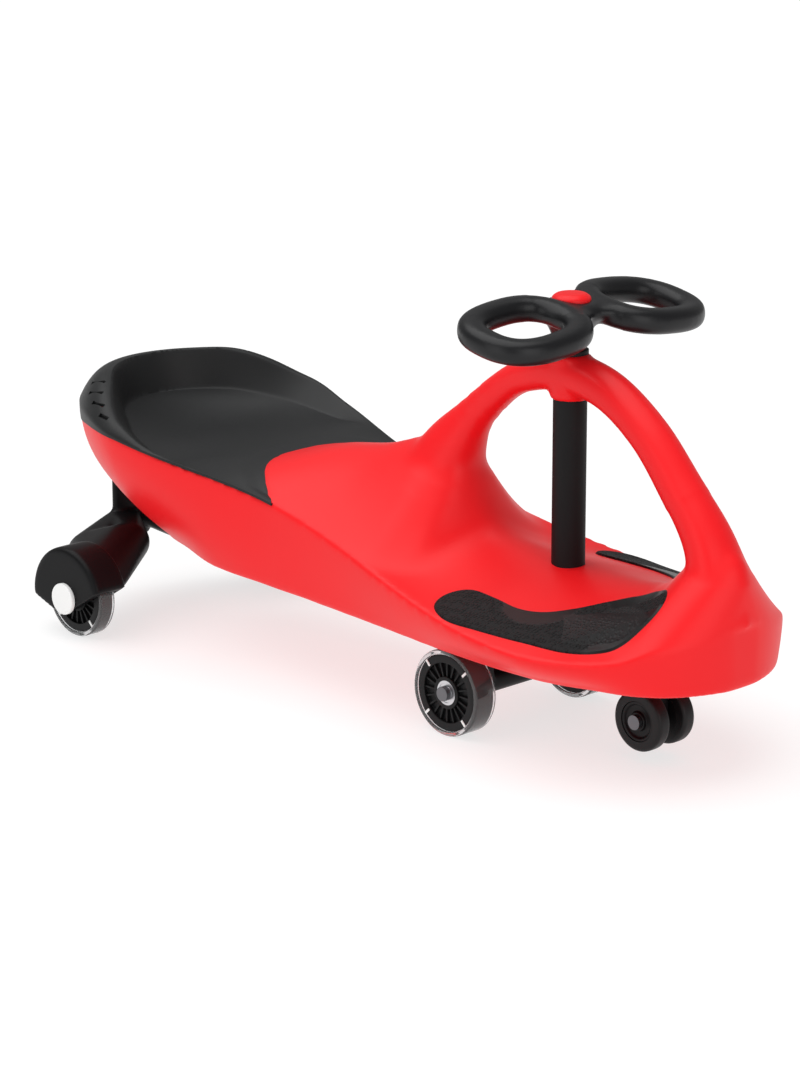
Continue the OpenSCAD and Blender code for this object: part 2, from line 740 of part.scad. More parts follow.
module column_bolt() {
    color("#b9bcc0")
        translate([column_x, 0, column_low]) {
            translate([0, 0, -3])
                cylinder(d = 2 * hub_r - 26, h = 3);
            cylinder(d = column_d - 2 * column_wall - 2 * bush_clear, h = 24);
        }
}

// Axles, spacers and screws
bearing_in = 1.2;
front_axle_end = front_track / 2 + wheel_w / 2 + 1;
spacer_d = axle_d + 4;
screw_d = 13;
module cross_rod(x, z, d, from, to) {
    translate([x, from, z])
        rotate([-90, 0, 0])
            cylinder(d = d, h = to - from);
}
module ring_spacer(x, z, from, to) {
    difference() {
        cross_rod(x, z, spacer_d, from, to);
        cross_rod(x, z, axle_d + 2 * axle_clear, from - 1, to + 1);
    }
}
module front_axle() {
    color("#b9bcc0")
        cross_rod(front_x, wheel_d / 2, axle_d, -front_axle_end, front_axle_end);
}
module front_spacers() {
    color("#a9acb0")
        for (side = [0, 1])
            mirror([0, side, 0])
                ring_spacer(front_x, wheel_d / 2, tube_end, front_wheel_in + bearing_in - run_gap);
}
module front_axle_screws() {
    face = front_wheel_in + wheel_w - bearing_in + run_gap;
    color("#b9bcc0")
        for (side = [0, 1])
            mirror([0, side, 0])
                difference() {
                    cross_rod(front_x, wheel_d / 2, screw_d, face, front_axle_end + 3);
                    cross_rod(front_x, wheel_d / 2, axle_d + 2 * axle_clear, face - 1, front_axle_end);
                }
}
safety_in = lug_w / 2 + 2.5;
safety_out = safety_in + safety_w;
module safety_axle() {
    color("#b9bcc0") {
        cross_rod(safety_x, safety_z, axle_d, -safety_out - 1, safety_out + 1);
        for (side = [0, 1])
            mirror([0, side, 0]) {
                cross_rod(safety_x, safety_z, screw_d, safety_out + run_gap, safety_out + 4);
                cross_rod(safety_x, safety_z, spacer_d, lug_w / 2, safety_in - run_gap);
            }
    }
}

// Road wheels: core, tyre and two bearings, built along Z with the outer face up
module upright(x, y, z) {
    translate([x, y, z])
        rotate([y > 0 ? -90 : 90, 0, 0])
            children();
}
rib_low = bearing_d / 2 + 3.5;
rib_high = core_d / 2 - 4;
rib_depth = 5;
rib_t = 1.7;
tyre_fit = 0.05;
module wheel_core(width) {
    color("#1d1e20")
        difference() {
            union() {
                difference() {
                    translate([0, 0, -width / 2 + 1])
                        cylinder(d = core_d, h = width - 2);
                    for (face = [0, 1])
                        mirror([0, 0, face])
                            translate([0, 0, width / 2 - rib_depth])
                                difference() {
                                    cylinder(r = rib_high, h = rib_depth);
                                    translate([0, 0, -1])
                                        cylinder(r = rib_low, h = rib_depth + 2);
                                }
                }
                for (i = [0:core_ribs - 1])
                    rotate([0, 0, 360 * i / core_ribs])
                        translate([rib_low - 1, -rib_t / 2, 0])
                            cube([rib_high - rib_low + 2, rib_t, width / 2 - 2]);
            }
            for (face = [0, 1])
                mirror([0, 0, face])
                    translate([0, 0, width / 2 - bearing_in - bearing_w])
                        cylinder(d = bearing_d + 2 * tyre_fit, h = bearing_w + bearing_in + 1);
            translate([0, 0, -width])
                cylinder(d = bearing_d - 4, h = 2 * width);
        }
}
shoulder = 5;
module wheel_tyre(width) {
    outer = wheel_d / 2;
    inner = core_d / 2 + tyre_fit;
    half = width / 2;
    color("#d8dcdc")
        rotate_extrude()
            polygon(concat(
                [[inner, -half + 1], [inner, half - 1], [inner + 1, half]],
                [for (a = [90:-30:0])
                    [outer - shoulder + shoulder * cos(a), half - shoulder + shoulder * sin(a)]],
                [for (a = [0:-30:-90])
                    [outer - shoulder + shoulder * cos(a), -half + shoulder + shoulder * sin(a)]],
                [[inner + 1, -half]]
            ));
}
module bearing_pair(width) {
    color("#c4c7ca")
        for (face = [0, 1])
            mirror([0, 0, face])
                translate([0, 0, width / 2 - bearing_in - bearing_w])
                    difference() {
                        cylinder(d = bearing_d, h = bearing_w);
                        translate([0, 0, -1])
                            cylinder(d = axle_d + 2 * axle_clear, h = bearing_w + 2);
                        translate([0, 0, bearing_w - 0.6])
                            difference() {
                                cylinder(d = bearing_d - 4, h = 1);
                                cylinder(d = axle_d + 4, h = 1);
                            }
                    }
}
rear_x = tail_x + rear_axle_in;
module front_core_left() {
    upright(front_x, front_track / 2, wheel_d / 2) wheel_core(wheel_w);
}
module front_tyre_left() {
    upright(front_x, front_track / 2, wheel_d / 2) wheel_tyre(wheel_w);
}
module front_bearings_left() {
    upright(front_x, front_track / 2, wheel_d / 2) bearing_pair(wheel_w);
}
module front_core_right() {
    upright(front_x, -front_track / 2, wheel_d / 2) wheel_core(wheel_w);
}
module front_tyre_right() {
    upright(front_x, -front_track / 2, wheel_d / 2) wheel_tyre(wheel_w);
}
module front_bearings_right() {
    upright(front_x, -front_track / 2, wheel_d / 2) bearing_pair(wheel_w);
}
module rear_core_left() {
    upright(rear_x, rear_track / 2, wheel_d / 2) wheel_core(rear_wheel_w);
}
module rear_tyre_left() {
    upright(rear_x, rear_track / 2, wheel_d / 2) wheel_tyre(rear_wheel_w);
}
module rear_bearings_left() {
    upright(rear_x, rear_track / 2, wheel_d / 2) bearing_pair(rear_wheel_w);
}
module rear_core_right() {
    upright(rear_x, -rear_track / 2, wheel_d / 2) wheel_core(rear_wheel_w);
}
module rear_tyre_right() {
    upright(rear_x, -rear_track / 2, wheel_d / 2) wheel_tyre(rear_wheel_w);
}
module rear_bearings_right() {
    upright(rear_x, -rear_track / 2, wheel_d / 2) bearing_pair(rear_wheel_w);
}

// Safety wheels at the front of the arm
safety_band = 9;
safety_core_d = safety_d - 2 * safety_band;
module safety_core() {
    color("#26282a")
        difference() {
            translate([0, 0, -safety_w / 2])
                cylinder(d = safety_core_d, h = safety_w);
            translate([0, 0, safety_w / 2 - 3])
                difference() {
                    cylinder(d = safety_core_d - 5, h = 4);
                    cylinder(d = screw_d + 4, h = 4);
                }
            translate([0, 0, -safety_w])
                cylinder(d = axle_d + 2 * axle_clear, h = 2 * safety_w);
        }
}
module safety_tyre() {
    outer = safety_d / 2;
    inner = safety_core_d / 2 + tyre_fit;
    half = safety_w / 2;
    bend = 3.5;
    color("#17181a")
        rotate_extrude()
            polygon(concat(
                [[inner, -half], [inner, half]],
                [for (a = [90:-30:0]) [outer - bend + bend * cos(a), half - bend + bend * sin(a)]],
                [for (a = [0:-30:-90]) [outer - bend + bend * cos(a), -half + bend + bend * sin(a)]]
            ));
}
safety_y = safety_in + safety_w / 2;
module safety_core_left() {
    upright(safety_x, safety_y, safety_z) safety_core();
}
module safety_tyre_left() {
    upright(safety_x, safety_y, safety_z) safety_tyre();
}
module safety_core_right() {
    upright(safety_x, -safety_y, safety_z) safety_core();
}
module safety_tyre_right() {
    upright(safety_x, -safety_y, safety_z) safety_tyre();
}

// Rear bracket: a stem in the body's socket, and swept beams out to the wheel housings
stem_x = tail_x + stem_l / 2 + 2;
stem_top = belly_z(stem_x) + 34;
stem_fit = 0.25;
beam_z = wheel_d / 2 + 29;
rear_in = rear_track / 2 - rear_wheel_w / 2;
rear_out = rear_track / 2 + rear_wheel_w / 2;
cheek_t = 9.5;
housing_in = rear_in - housing_gap - housing_wall;
housing_out = rear_out + housing_gap + cheek_t;
housing_r = wheel_d / 2 + housing_gap + housing_wall;
housing_bend = 4;
module stem_post(grow, high) {
    translate([stem_x, 0, beam_z])
        linear_extrude(high - beam_z)
            offset(delta = grow)
                scale([stem_l / stem_w, 1])
                    circle(d = stem_w);
}
module stem_socket() {
    stem_post(stem_fit, stem_top + stem_fit);
}
bolt_y = 9;
bolt_low = stem_top - 30;
bolt_high = stem_top + 45;
module bolt_holes(clear) {
    for (side = [-1, 1])
        translate([stem_x, side * bolt_y, 0]) {
            translate([0, 0, bolt_low])
                cylinder(d = bolt_d + 2 * clear, h = tail_z);
            translate([0, 0, bolt_high])
                cylinder(d = bolt_head_d + 2, h = tail_z);
        }
}
module bracket_bolts() {
    color("#b9bcc0")
        for (side = [-1, 1])
            translate([stem_x, side * bolt_y, 0]) {
                translate([0, 0, bolt_low])
                    cylinder(d = bolt_d, h = bolt_high - bolt_low + 1);
                translate([0, 0, bolt_high])
                    cylinder(d = bolt_head_d, h = bolt_head_h, $fn = 6);
            }
}
// Side view of a housing about its axle: open below, with a rising front edge
module housing_outline(r) {
    intersection() {
        circle(r = r);
        polygon([
            [-r, -2], [-12, -15], [0, -15], [r, 14], [r, r], [-r, r]
        ]);
    }
}
module side_plate(r, from, to) {
    translate([rear_x, to, wheel_d / 2])
        rotate([90, 0, 0])
            linear_extrude(to - from)
                housing_outline(r);
}
module wheel_housing() {
    difference() {
        intersection() {
            side_plate(housing_r + housing_bend, housing_in, housing_out);
            translate([rear_x, housing_in, wheel_d / 2])
                rotate([-90, 0, 0])
                    rotate_extrude()
                        polygon(concat(
                            [[0, 0], [housing_r, 0]],
                            [for (a = [0:30:90]) [
                                housing_r - housing_bend + housing_bend * cos(a),
                                housing_out - housing_in - housing_bend + housing_bend * sin(a)
                            ]],
                            [[0, housing_out - housing_in]]
                        ));
        }
        cross_rod(rear_x, wheel_d / 2, wheel_d + 2 * housing_gap,
            housing_in + housing_wall, rear_out + housing_gap);
    }
}
module beam_ball(spot, r) {
    translate(spot)
        sphere(r = r, $fn = 24);
}
// Each limb of the beam: a root under the stem, an elbow that bulges, and the face of the housing
root_h = 20;
root_swell = 0.7;
root_shift = 3;
elbow_in = 51;
elbow_out = 60;
elbow_r = 27;
elbow_z = wheel_d / 2 + 25;
elbow_x = stem_x + 45;
module rear_beam() {
    hull() {
        translate([0, root_shift, -root_h / 2])
            stem_post(root_swell, beam_z + root_h);
        beam_ball([elbow_x, elbow_in, elbow_z], elbow_r - root_swell);
    }
    hull() {
        beam_ball([elbow_x, elbow_in, elbow_z], elbow_r);
        beam_ball([elbow_x + 2, elbow_out, elbow_z], elbow_r);
        side_plate(housing_r - 4, housing_in - 1, housing_in + 1, $fn = 28);
    }
}
module rear_bracket() {
    color("#1f2123")
        difference() {
            union() {
                stem_post(0, stem_top);
                for (side = [0, 1])
                    mirror([0, side, 0]) {
                        wheel_housing();
                        rear_beam();
                    }
            }
            for (side = [0, 1])
                mirror([0, side, 0])
                    cross_rod(rear_x, wheel_d / 2, axle_d + 2 * axle_clear, housing_in - 8, housing_out + 1);
            bolt_holes(seat_fit);
        }
}
module rear_axles() {
    color("#b9bcc0")
        for (side = [0, 1])
            mirror([0, side, 0])
                cross_rod(rear_x, wheel_d / 2, axle_d, housing_in - 7, housing_out);
}
module rear_spacers() {
    color("#a9acb0")
        for (side = [0, 1])
            mirror([0, side, 0]) {
                ring_spacer(rear_x, wheel_d / 2, housing_in + housing_wall, rear_in + bearing_in - run_gap);
                ring_spacer(rear_x, wheel_d / 2, rear_out - bearing_in + run_gap, rear_out + housing_gap);
            }
}
cap_t = 3.5;
module rear_cap() {
    color("#f2f2ef")
        translate([rear_x, housing_out, wheel_d / 2])
            rotate([-90, 0, 0])
                rotate_extrude()
                    polygon(concat(
                        [[0, 0], [hub_cap_d / 2, 0]],
                        [for (a = [0:30:90]) [hub_cap_d / 2 - 2 + 2 * cos(a), cap_t - 2 + 2 * sin(a)]],
                        [[0, cap_t + 0.6]]
                    ));
}
module rear_cap_left() {
    rear_cap();
}
module rear_cap_right() {
    mirror([0, 1, 0])
        rear_cap();
}

body_shell();
seat_insert();
foot_pad_left();
foot_pad_right();
column_sleeve();
upper_bush();
lower_bush();
rear_bracket();
bracket_bolts();
rear_axles();
rear_spacers();
rear_cap_left();
rear_cap_right();
column_tube();
steering_wheel();
steering_cap();
steering_bolt();
thrust_washer();
swing_arm();
column_bolt();
front_axle();
front_spacers();
front_axle_screws();
safety_axle();
front_core_left();
front_tyre_left();
front_bearings_left();
front_core_right();
front_tyre_right();
front_bearings_right();
rear_core_left();
rear_tyre_left();
rear_bearings_left();
rear_core_right();
rear_tyre_right();
rear_bearings_right();
safety_core_left();
safety_tyre_left();
safety_core_right();
safety_tyre_right();
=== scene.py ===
# %% [markdown]
# # A wiggle car in Blender
# The car is a ride-on toy: one big red moulding with an arch over the foot deck, a black seat set into
# it, a steering wheel with two hand loops, and wheels on a swinging arm in front and on a bracket behind.
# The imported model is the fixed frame, and every piece made here takes its place from it. Sizes are typed
# in millimetres, because that is how such a toy is drawn, and each mesh is scaled to metres once, when it
# becomes a piece.

# %% Load the frame
from bisect import bisect_right
from math import cos, pi, radians, sin, sqrt

import bmesh
import bpy
from mathutils import Matrix, Vector


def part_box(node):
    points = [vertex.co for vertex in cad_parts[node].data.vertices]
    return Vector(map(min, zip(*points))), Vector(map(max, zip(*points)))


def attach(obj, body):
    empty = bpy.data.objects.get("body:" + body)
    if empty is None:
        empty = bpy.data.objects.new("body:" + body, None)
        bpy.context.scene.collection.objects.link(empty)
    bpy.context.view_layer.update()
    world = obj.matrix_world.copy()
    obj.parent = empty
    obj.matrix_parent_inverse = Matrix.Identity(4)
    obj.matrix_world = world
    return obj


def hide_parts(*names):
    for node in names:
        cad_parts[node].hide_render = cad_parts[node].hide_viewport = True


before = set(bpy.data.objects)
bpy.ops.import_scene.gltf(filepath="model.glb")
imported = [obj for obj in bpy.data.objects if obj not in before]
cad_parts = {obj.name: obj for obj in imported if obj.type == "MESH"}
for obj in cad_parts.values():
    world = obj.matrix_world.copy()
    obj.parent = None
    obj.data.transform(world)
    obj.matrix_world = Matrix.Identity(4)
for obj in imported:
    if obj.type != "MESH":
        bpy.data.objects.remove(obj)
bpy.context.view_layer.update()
MM = 0.001

# %% [markdown]
# ## Camera
# The toy was shot with a long lens from the front right, looking a little down. A long lens keeps the
# wheels round and the body free of stretch. The place and the focal length are values of the shot, so
# they are set by number and not by eye.

# %% Camera
SHOT_FROM = Vector((2422.0, -2340.2, 1096.9)) * MM
SHOT_AT = Vector((-0.1, -7.4, 126.6)) * MM
SHOT_LENS = 128.0
SENSOR = 36.0

lens = bpy.data.cameras.new("shot")
lens.sensor_fit = "VERTICAL"
lens.sensor_height = SENSOR
lens.sensor_width = SENSOR
lens.lens = SHOT_LENS
camera = bpy.data.objects.new("shot", lens)
camera.location = SHOT_FROM
camera.rotation_euler = (SHOT_AT - SHOT_FROM).to_track_quat("-Z", "Y").to_euler()
bpy.context.scene.collection.objects.link(camera)
bpy.context.scene.camera = camera
print("camera", round((SHOT_AT - SHOT_FROM).length, 2), "m away")

# %% [markdown]
# ## Floor and light
# The floor is a light table: a pale sheet that glows a little from below, which thins the shadow as in a
# shop picture. A very wide sun overhead does most of the work, two soft lamps fill the front and the
# side, and a dim world keeps black plastic black.


# %% Floor and lamps
def set_inputs(shader, **values):
    """Set inputs of a shader node by name, an underscore standing for a space."""
    for socket, value in values.items():
        shader.inputs[socket.replace("_", " ")].default_value = value
    return shader


def studio_lamp(name, kind, place, strength):
    """A lamp that faces the car."""
    lamp = bpy.data.lights.new(name, kind)
    lamp.energy = strength
    holder = bpy.data.objects.new(name, lamp)
    holder.location = place
    holder.rotation_euler = (CAR_MIDDLE - Vector(place)).to_track_quat("-Z", "Y").to_euler()
    bpy.context.scene.collection.objects.link(holder)
    return lamp


WORLD_LIGHT = 0.30
OVERHEAD_AT, SUN_SPREAD, SUN_STRENGTH = (-0.6, -0.5, 3.0), 75, 2.5
FILLS = {"front_fill": ((2.4, -0.6, 0.9), 14), "side_fill": ((0.2, -2.4, 0.8), 10)}
FILL_SIZE = 1.6
CAR_MIDDLE = Vector((0, 0, 0.15))
world = bpy.data.worlds.new("studio")
world.use_nodes = True
set_inputs(world.node_tree.nodes["Background"], Color=(1.0, 1.0, 1.0, 1), Strength=WORLD_LIGHT)
bpy.context.scene.world = world
bpy.context.scene.view_settings.view_transform = "Standard"
studio_lamp("overhead", "SUN", OVERHEAD_AT, SUN_STRENGTH).angle = radians(SUN_SPREAD)
for name, (place, strength) in FILLS.items():
    studio_lamp(name, "AREA", place, strength).size = FILL_SIZE

FLOOR_HALF = 9.0
sheet = bmesh.new()
bmesh.ops.create_grid(sheet, x_segments=2, y_segments=2, size=FLOOR_HALF)
floor_mesh = bpy.data.meshes.new("floor")
sheet.to_mesh(floor_mesh)
sheet.free()
floor = bpy.data.objects.new("floor", floor_mesh)
bpy.context.scene.collection.objects.link(floor)
print("floor", 2 * FLOOR_HALF, "m wide")

# %% [markdown]
# ## Finishes
# Almost everything on the toy is moulded plastic, and what tells one plastic from another is the grain of
# its mould and how sharply it mirrors the light. One helper makes such a finish: a colour that drifts
# slightly, a roughness that drifts with it, and a fine bump. All of them read Object coordinates, so the
# grain keeps its real size on every piece.


# %% Finish helper
GLOSS_DRIFT, GRAIN_DEEP = 0.05, 0.4 * MM


def main_shader(material):
    return material.node_tree.nodes["Principled BSDF"]


def moulded(name, colour, rough, drift=0.06, grain=900.0, bump=0.05, patches=14.0, shine=0.5):
    """A moulded finish: slow drift of colour and gloss, and a fine grain in the surface."""
    material = bpy.data.materials.new(name)
    material.use_nodes = True
    tree = material.node_tree
    shader = set_inputs(main_shader(material), Specular_IOR_Level=shine)
    place = tree.nodes.new("ShaderNodeTexCoord")
    slow = set_inputs(tree.nodes.new("ShaderNodeTexNoise"), Scale=patches, Detail=3.0)
    tree.links.new(place.outputs["Object"], slow.inputs["Vector"])
    tint = tree.nodes.new("ShaderNodeMix")
    tint.data_type = "RGBA"
    tint.inputs["A"].default_value = (*[c * (1 - drift) for c in colour], 1)
    tint.inputs["B"].default_value = (*[min(c * (1 + drift), 1) for c in colour], 1)
    tree.links.new(slow.outputs["Fac"], tint.inputs["Factor"])
    tree.links.new(tint.outputs["Result"], shader.inputs["Base Color"])
    gloss = tree.nodes.new("ShaderNodeMapRange")
    set_inputs(gloss, To_Min=rough - GLOSS_DRIFT, To_Max=rough + GLOSS_DRIFT)
    tree.links.new(slow.outputs["Fac"], gloss.inputs["Value"])
    tree.links.new(gloss.outputs["Result"], shader.inputs["Roughness"])
    fine = set_inputs(tree.nodes.new("ShaderNodeTexNoise"), Scale=grain, Detail=2.0)
    tree.links.new(place.outputs["Object"], fine.inputs["Vector"])
    relief = set_inputs(tree.nodes.new("ShaderNodeBump"), Strength=bump, Distance=GRAIN_DEEP)
    tree.links.new(fine.outputs["Fac"], relief.inputs["Height"])
    tree.links.new(relief.outputs["Normal"], shader.inputs["Normal"])
    return material


# %% [markdown]
# The red is bright and satin, the black of the seat and the grips is a soft satin too. The clear tyres
# are cast polyurethane: nearly glass, so the black core shows through and only their edges catch the
# light.

# %% Finishes
red_plastic = moulded("red_plastic", (0.86, 0.008, 0.012), 0.42, drift=0.03, shine=0.25)
seat_plastic = moulded(
    "seat_plastic", (0.010, 0.0105, 0.011), 0.48, drift=0.10, grain=1400.0, bump=0.12, shine=0.3,
)
grip_plastic = moulded(
    "grip_plastic", (0.006, 0.006, 0.007), 0.36, drift=0.10, grain=1100.0, bump=0.10, shine=0.3,
)
sleeve_plastic = moulded(
    "sleeve_plastic", (0.006, 0.006, 0.0065), 0.60, drift=0.10, grain=1500.0, bump=0.2, shine=0.2,
)
arm_plastic = moulded("arm_plastic", (0.005, 0.005, 0.0055), 0.40, drift=0.10, shine=0.12)
core_plastic = moulded("core_plastic", (0.005, 0.005, 0.0055), 0.42, drift=0.10, shine=0.2)
white_plastic = moulded("white_plastic", (0.86, 0.86, 0.85), 0.35, drift=0.02)
bush_plastic = moulded("bush_plastic", (0.62, 0.62, 0.58), 0.45, drift=0.04)
tyre_rubber = moulded(
    "tyre_rubber", (0.006, 0.006, 0.0065), 0.45, drift=0.10, grain=700.0, bump=0.2, shine=0.25,
)
TABLE_GLOW = 0.7
light_table = moulded("light_table", (0.30, 0.30, 0.30), 0.75, drift=0.01, grain=60.0, bump=0.01, patches=0.6)
set_inputs(main_shader(light_table), Emission_Color=(1.0, 1.0, 1.0, 1), Emission_Strength=TABLE_GLOW)
floor.data.materials.append(light_table)

steel = moulded("steel", (0.60, 0.61, 0.63), 0.30, drift=0.06, grain=2200.0, bump=0.10, patches=60.0)
dark_steel = moulded("dark_steel", (0.16, 0.16, 0.17), 0.38, drift=0.15, grain=1500.0, bump=0.3, patches=90.0)
for metal in (steel, dark_steel):
    set_inputs(main_shader(metal), Metallic=1.0)
clear_cast = moulded("clear_cast", (0.85, 0.86, 0.87), 0.10, drift=0.01, grain=300.0, bump=0.02, patches=30.0)
set_inputs(main_shader(clear_cast), Transmission_Weight=0.95, IOR=1.48)
print("finishes:", len(bpy.data.materials))


# %% [markdown]
# ## From a mesh to a piece
# A finished mesh is scaled to metres, gets its normals turned outwards, smooth shading with sharp edges
# kept above an angle, a finish, and a body to ride on. Where it stands for solids of the frame, those are
# hidden.


# %% Piece helper
def piece(name, bm, body, finish, stands_for=(), crease=38):
    """Make a bmesh in millimetres a piece of the car."""
    bmesh.ops.scale(bm, vec=(MM, MM, MM), verts=bm.verts)
    bmesh.ops.recalc_face_normals(bm, faces=bm.faces)
    mesh = bpy.data.meshes.new(name)
    bm.to_mesh(mesh)
    bm.free()
    mesh.shade_smooth()
    mesh.set_sharp_from_angle(angle=radians(crease))
    mesh.materials.append(finish)
    made = bpy.data.objects.new(name, mesh)
    bpy.context.scene.collection.objects.link(made)
    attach(made, body)
    if stands_for:
        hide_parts(*stands_for)
    print(name, len(mesh.polygons), "faces")


# %% [markdown]
# ## Curves that shape the moulding
# A boat builder draws a hull with a few long curves and reads every cross-section off them. The moulding
# is drawn the same way: knots give a value at places along the car, and a smooth curve runs through them.
# The values come from those the frame was drawn with, so the skin lies close to the frame's solid, only
# finer.


# %% Curve helpers
def clamp(t, low=0.0, high=1.0):
    return min(max(t, low), high)


def ease(t):
    c = clamp(t)
    return c * c * (3 - 2 * c)


def mix(a, b, t):
    return a + (b - a) * t


def curve(knots, position):
    """A smooth curve through knots of (position, value)."""
    places = [k[0] for k in knots]
    last = len(knots) - 1
    x = clamp(position, places[0], places[-1])
    i = min(bisect_right(places, x) - 1, last - 1)

    def slope(n):
        a, b = max(n - 1, 0), min(n + 1, last)
        return (knots[b][1] - knots[a][1]) / (knots[b][0] - knots[a][0])

    h = knots[i + 1][0] - knots[i][0]
    t = (x - knots[i][0]) / h
    return (
        knots[i][1] * (2 * t**3 - 3 * t**2 + 1) + h * slope(i) * (t**3 - 2 * t**2 + t)
        + knots[i + 1][1] * (3 * t**2 - 2 * t**3) + h * slope(i + 1) * (t**3 - t**2)
    )


def through(points, s):
    """A point on the smooth line through points, at s counted in points."""
    last = len(points) - 1
    i = min(int(s), last - 1)
    t = s - i
    a, b = Vector(points[max(i - 1, 0)]), Vector(points[i])
    c, d = Vector(points[i + 1]), Vector(points[min(i + 2, last)])
    return 0.5 * (2 * b + (c - a) * t + (2 * a - 5 * b + 4 * c - d) * t**2 + (3 * b - a - 3 * c + d) * t**3)


# %% [markdown]
# The stations along the car hang on three values of the frame: the tail and the nose of the body, and the
# column's tube. The others are typed as distances from these, and heights are typed from the ground.


# %% Stations
def middle(node):
    """Middle of a node of the frame, in millimetres."""
    low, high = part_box(node)
    return (low + high) / (2 * MM)


def reach(node):
    """Lowest and highest corner of a node of the frame, in millimetres."""
    low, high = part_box(node)
    return low / MM, high / MM


TAIL, NOSE = reach("body_shell")[0].x, reach("body_shell")[1].x
COLUMN = middle("column_tube").x
SEAT_REACH = 142
SEAT = TAIL + SEAT_REACH
CORNER = TAIL + 327
TONGUE = CORNER - 71
DECK = COLUMN + 63
HUMP = COLUMN - 147
STERN = TAIL + 68
LEG = COLUMN + 167
FLOOR_Z = 84
TAIL_Z, CORNER_Z, PAN_Z, FOOT_Z = 240, 169, 186, 204
DECK_Z, DECK_RIM_Z, NOSE_RIM_Z = 150, 115, 138
SEAT_HALF, WAIST_HALF, DECK_HALF = 132, 99, 138
print("tail", round(TAIL), "column", round(COLUMN), "nose", round(NOSE))

# %% [markdown]
# The rim is the widest line round the moulding. The other curves tell how far the side tucks in below it,
# how high the ridge in the middle stands, how flat and steep the flanks are, and where the seat's wall
# has its foot and its crest. A ring counts from 0 in the middle of the seat to 1 on the rim.

# %% Long curves of the moulding
END_BLUNT, TAIL_ROUND, NOSE_ROUND, SHOULDER = 1, 1.4, 1.8, 0.15
RIM = [
    (TAIL, TAIL_Z - 24), (TAIL + 31, TAIL_Z - 27), (TAIL + 61, TAIL_Z - 28), (TAIL + 93, TAIL_Z - 29),
    (SEAT, CORNER_Z + 35), (SEAT + 16, CORNER_Z + 32), (CORNER, CORNER_Z), (COLUMN - 30, DECK_RIM_Z + 7),
    (DECK, DECK_RIM_Z - 1), (NOSE - 55, DECK_RIM_Z + 3), (NOSE - 32, NOSE_RIM_Z - 12),
    (NOSE - 9, NOSE_RIM_Z - 7), (NOSE, NOSE_RIM_Z),
]
TUCK = [
    (TAIL, 3), (TAIL + 13, 36), (STERN, 84), (SEAT + 17, 66), (CORNER - 81, 20), (CORNER + 11, 2),
    (COLUMN - 52, 15), (DECK + 50, 24), (NOSE - 41, 10), (NOSE - 20, 4), (NOSE, 2),
]
CROWN = [
    (TONGUE - 60, PAN_Z), (TONGUE, PAN_Z + 3), (TONGUE + 57, PAN_Z + 18), (HUMP - 73, PAN_Z + 32),
    (HUMP - 24, PAN_Z + 50), (HUMP, PAN_Z + 57), (HUMP + 18, PAN_Z + 52), (HUMP + 30, PAN_Z + 39),
    (HUMP + 37, PAN_Z + 18), (HUMP + 44, DECK_Z + 34), (HUMP + 52, DECK_Z + 21), (HUMP + 68, DECK_Z + 11),
    (HUMP + 95, DECK_Z + 6), (COLUMN - 12, DECK_Z + 3), (COLUMN + 48, DECK_Z), (LEG - 59, DECK_Z + 6),
    (LEG - 34, DECK_Z + 20), (LEG - 19, DECK_Z + 36), (LEG - 3, DECK_Z + 47), (NOSE - 16, DECK_Z + 50),
    (NOSE - 6, DECK_Z + 41), (NOSE, DECK_Z + 26),
]
FLATNESS = [
    (TONGUE - 60, 2), (TONGUE, 1.6), (HUMP, 1.1), (COLUMN, 1.1), (DECK, 1.05), (LEG - 35, 1.1), (NOSE, 1.1),
]
STEEPNESS = [
    (TONGUE - 60, 1), (TONGUE, 1.15), (HUMP, 1.5), (HUMP + 36, 2.3), (HUMP + 60, 2), (COLUMN - 12, 1.15),
    (DECK, 1), (LEG - 30, 1.5), (LEG - 6, 1.2), (NOSE, 1),
]
FOOT_RING = [
    (TAIL, 0.75), (TAIL + 84, 0.71), (SEAT - 33, 0.70), (SEAT - 12, 0.73), (SEAT + 13, 0.78),
    (SEAT + 46, 0.86), (SEAT + 86, 0.93),
]
CREST_RING = [
    (TAIL, 0.84), (TAIL + 48, 0.79), (SEAT - 54, 0.79), (SEAT - 24, 0.85), (SEAT + 10, 0.93),
    (SEAT + 41, 0.965), (SEAT + 86, 0.985),
]
FOOT_HEIGHT = [
    (TAIL, FOOT_Z), (TAIL + 84, FOOT_Z), (SEAT - 33, FOOT_Z - 3), (SEAT - 12, FOOT_Z - 7),
    (SEAT + 13, FOOT_Z - 12), (SEAT + 46, FOOT_Z - 18), (SEAT + 86, PAN_Z),
]
CREST_HEIGHT = [
    (TAIL, TAIL_Z - 1), (TAIL + 48, TAIL_Z + 1), (TAIL + 73, TAIL_Z + 1), (SEAT - 48, TAIL_Z - 5),
    (SEAT - 17, TAIL_Z - 20), (SEAT + 10, TAIL_Z - 30), (SEAT + 41, CORNER_Z + 29),
    (SEAT + 86, CORNER_Z + 19),
]
WALL_POWER, BAND_POWER = 1.05, 2.5
BOWL_END, BOWL_BLEND = TONGUE - 5, 55
RIDGE_SOFT = 0.15
BELLY_RISE, BELLY_CAMBER, CHINE = 5, 1.5, 4
BELLY_LEVEL = COLUMN - 60
STERN_LIFT, STERN_POWER = TAIL_Z - 40, 3
print("curves with", sum(map(len, (RIM, TUCK, CROWN, FOOT_RING, CREST_RING))), "knots")

# %% [markdown]
# From the curves follow the plan and the heights. Both ends of the plan are rounded off by a formula,
# because a few knots would leave flat spots there. The upper skin is a bowl in the seat and a ridge ahead
# of it, and the one fades into the other under the tongue.


# %% Plan and upper skin
def taper(run, length, power):
    """How much an end has narrowed, 0 at its shoulder and 1 at its tip, with a soft start."""
    t = run / (length + END_BLUNT)
    return (1 + SHOULDER) * t * t / (t ** (2 - power) + SHOULDER)


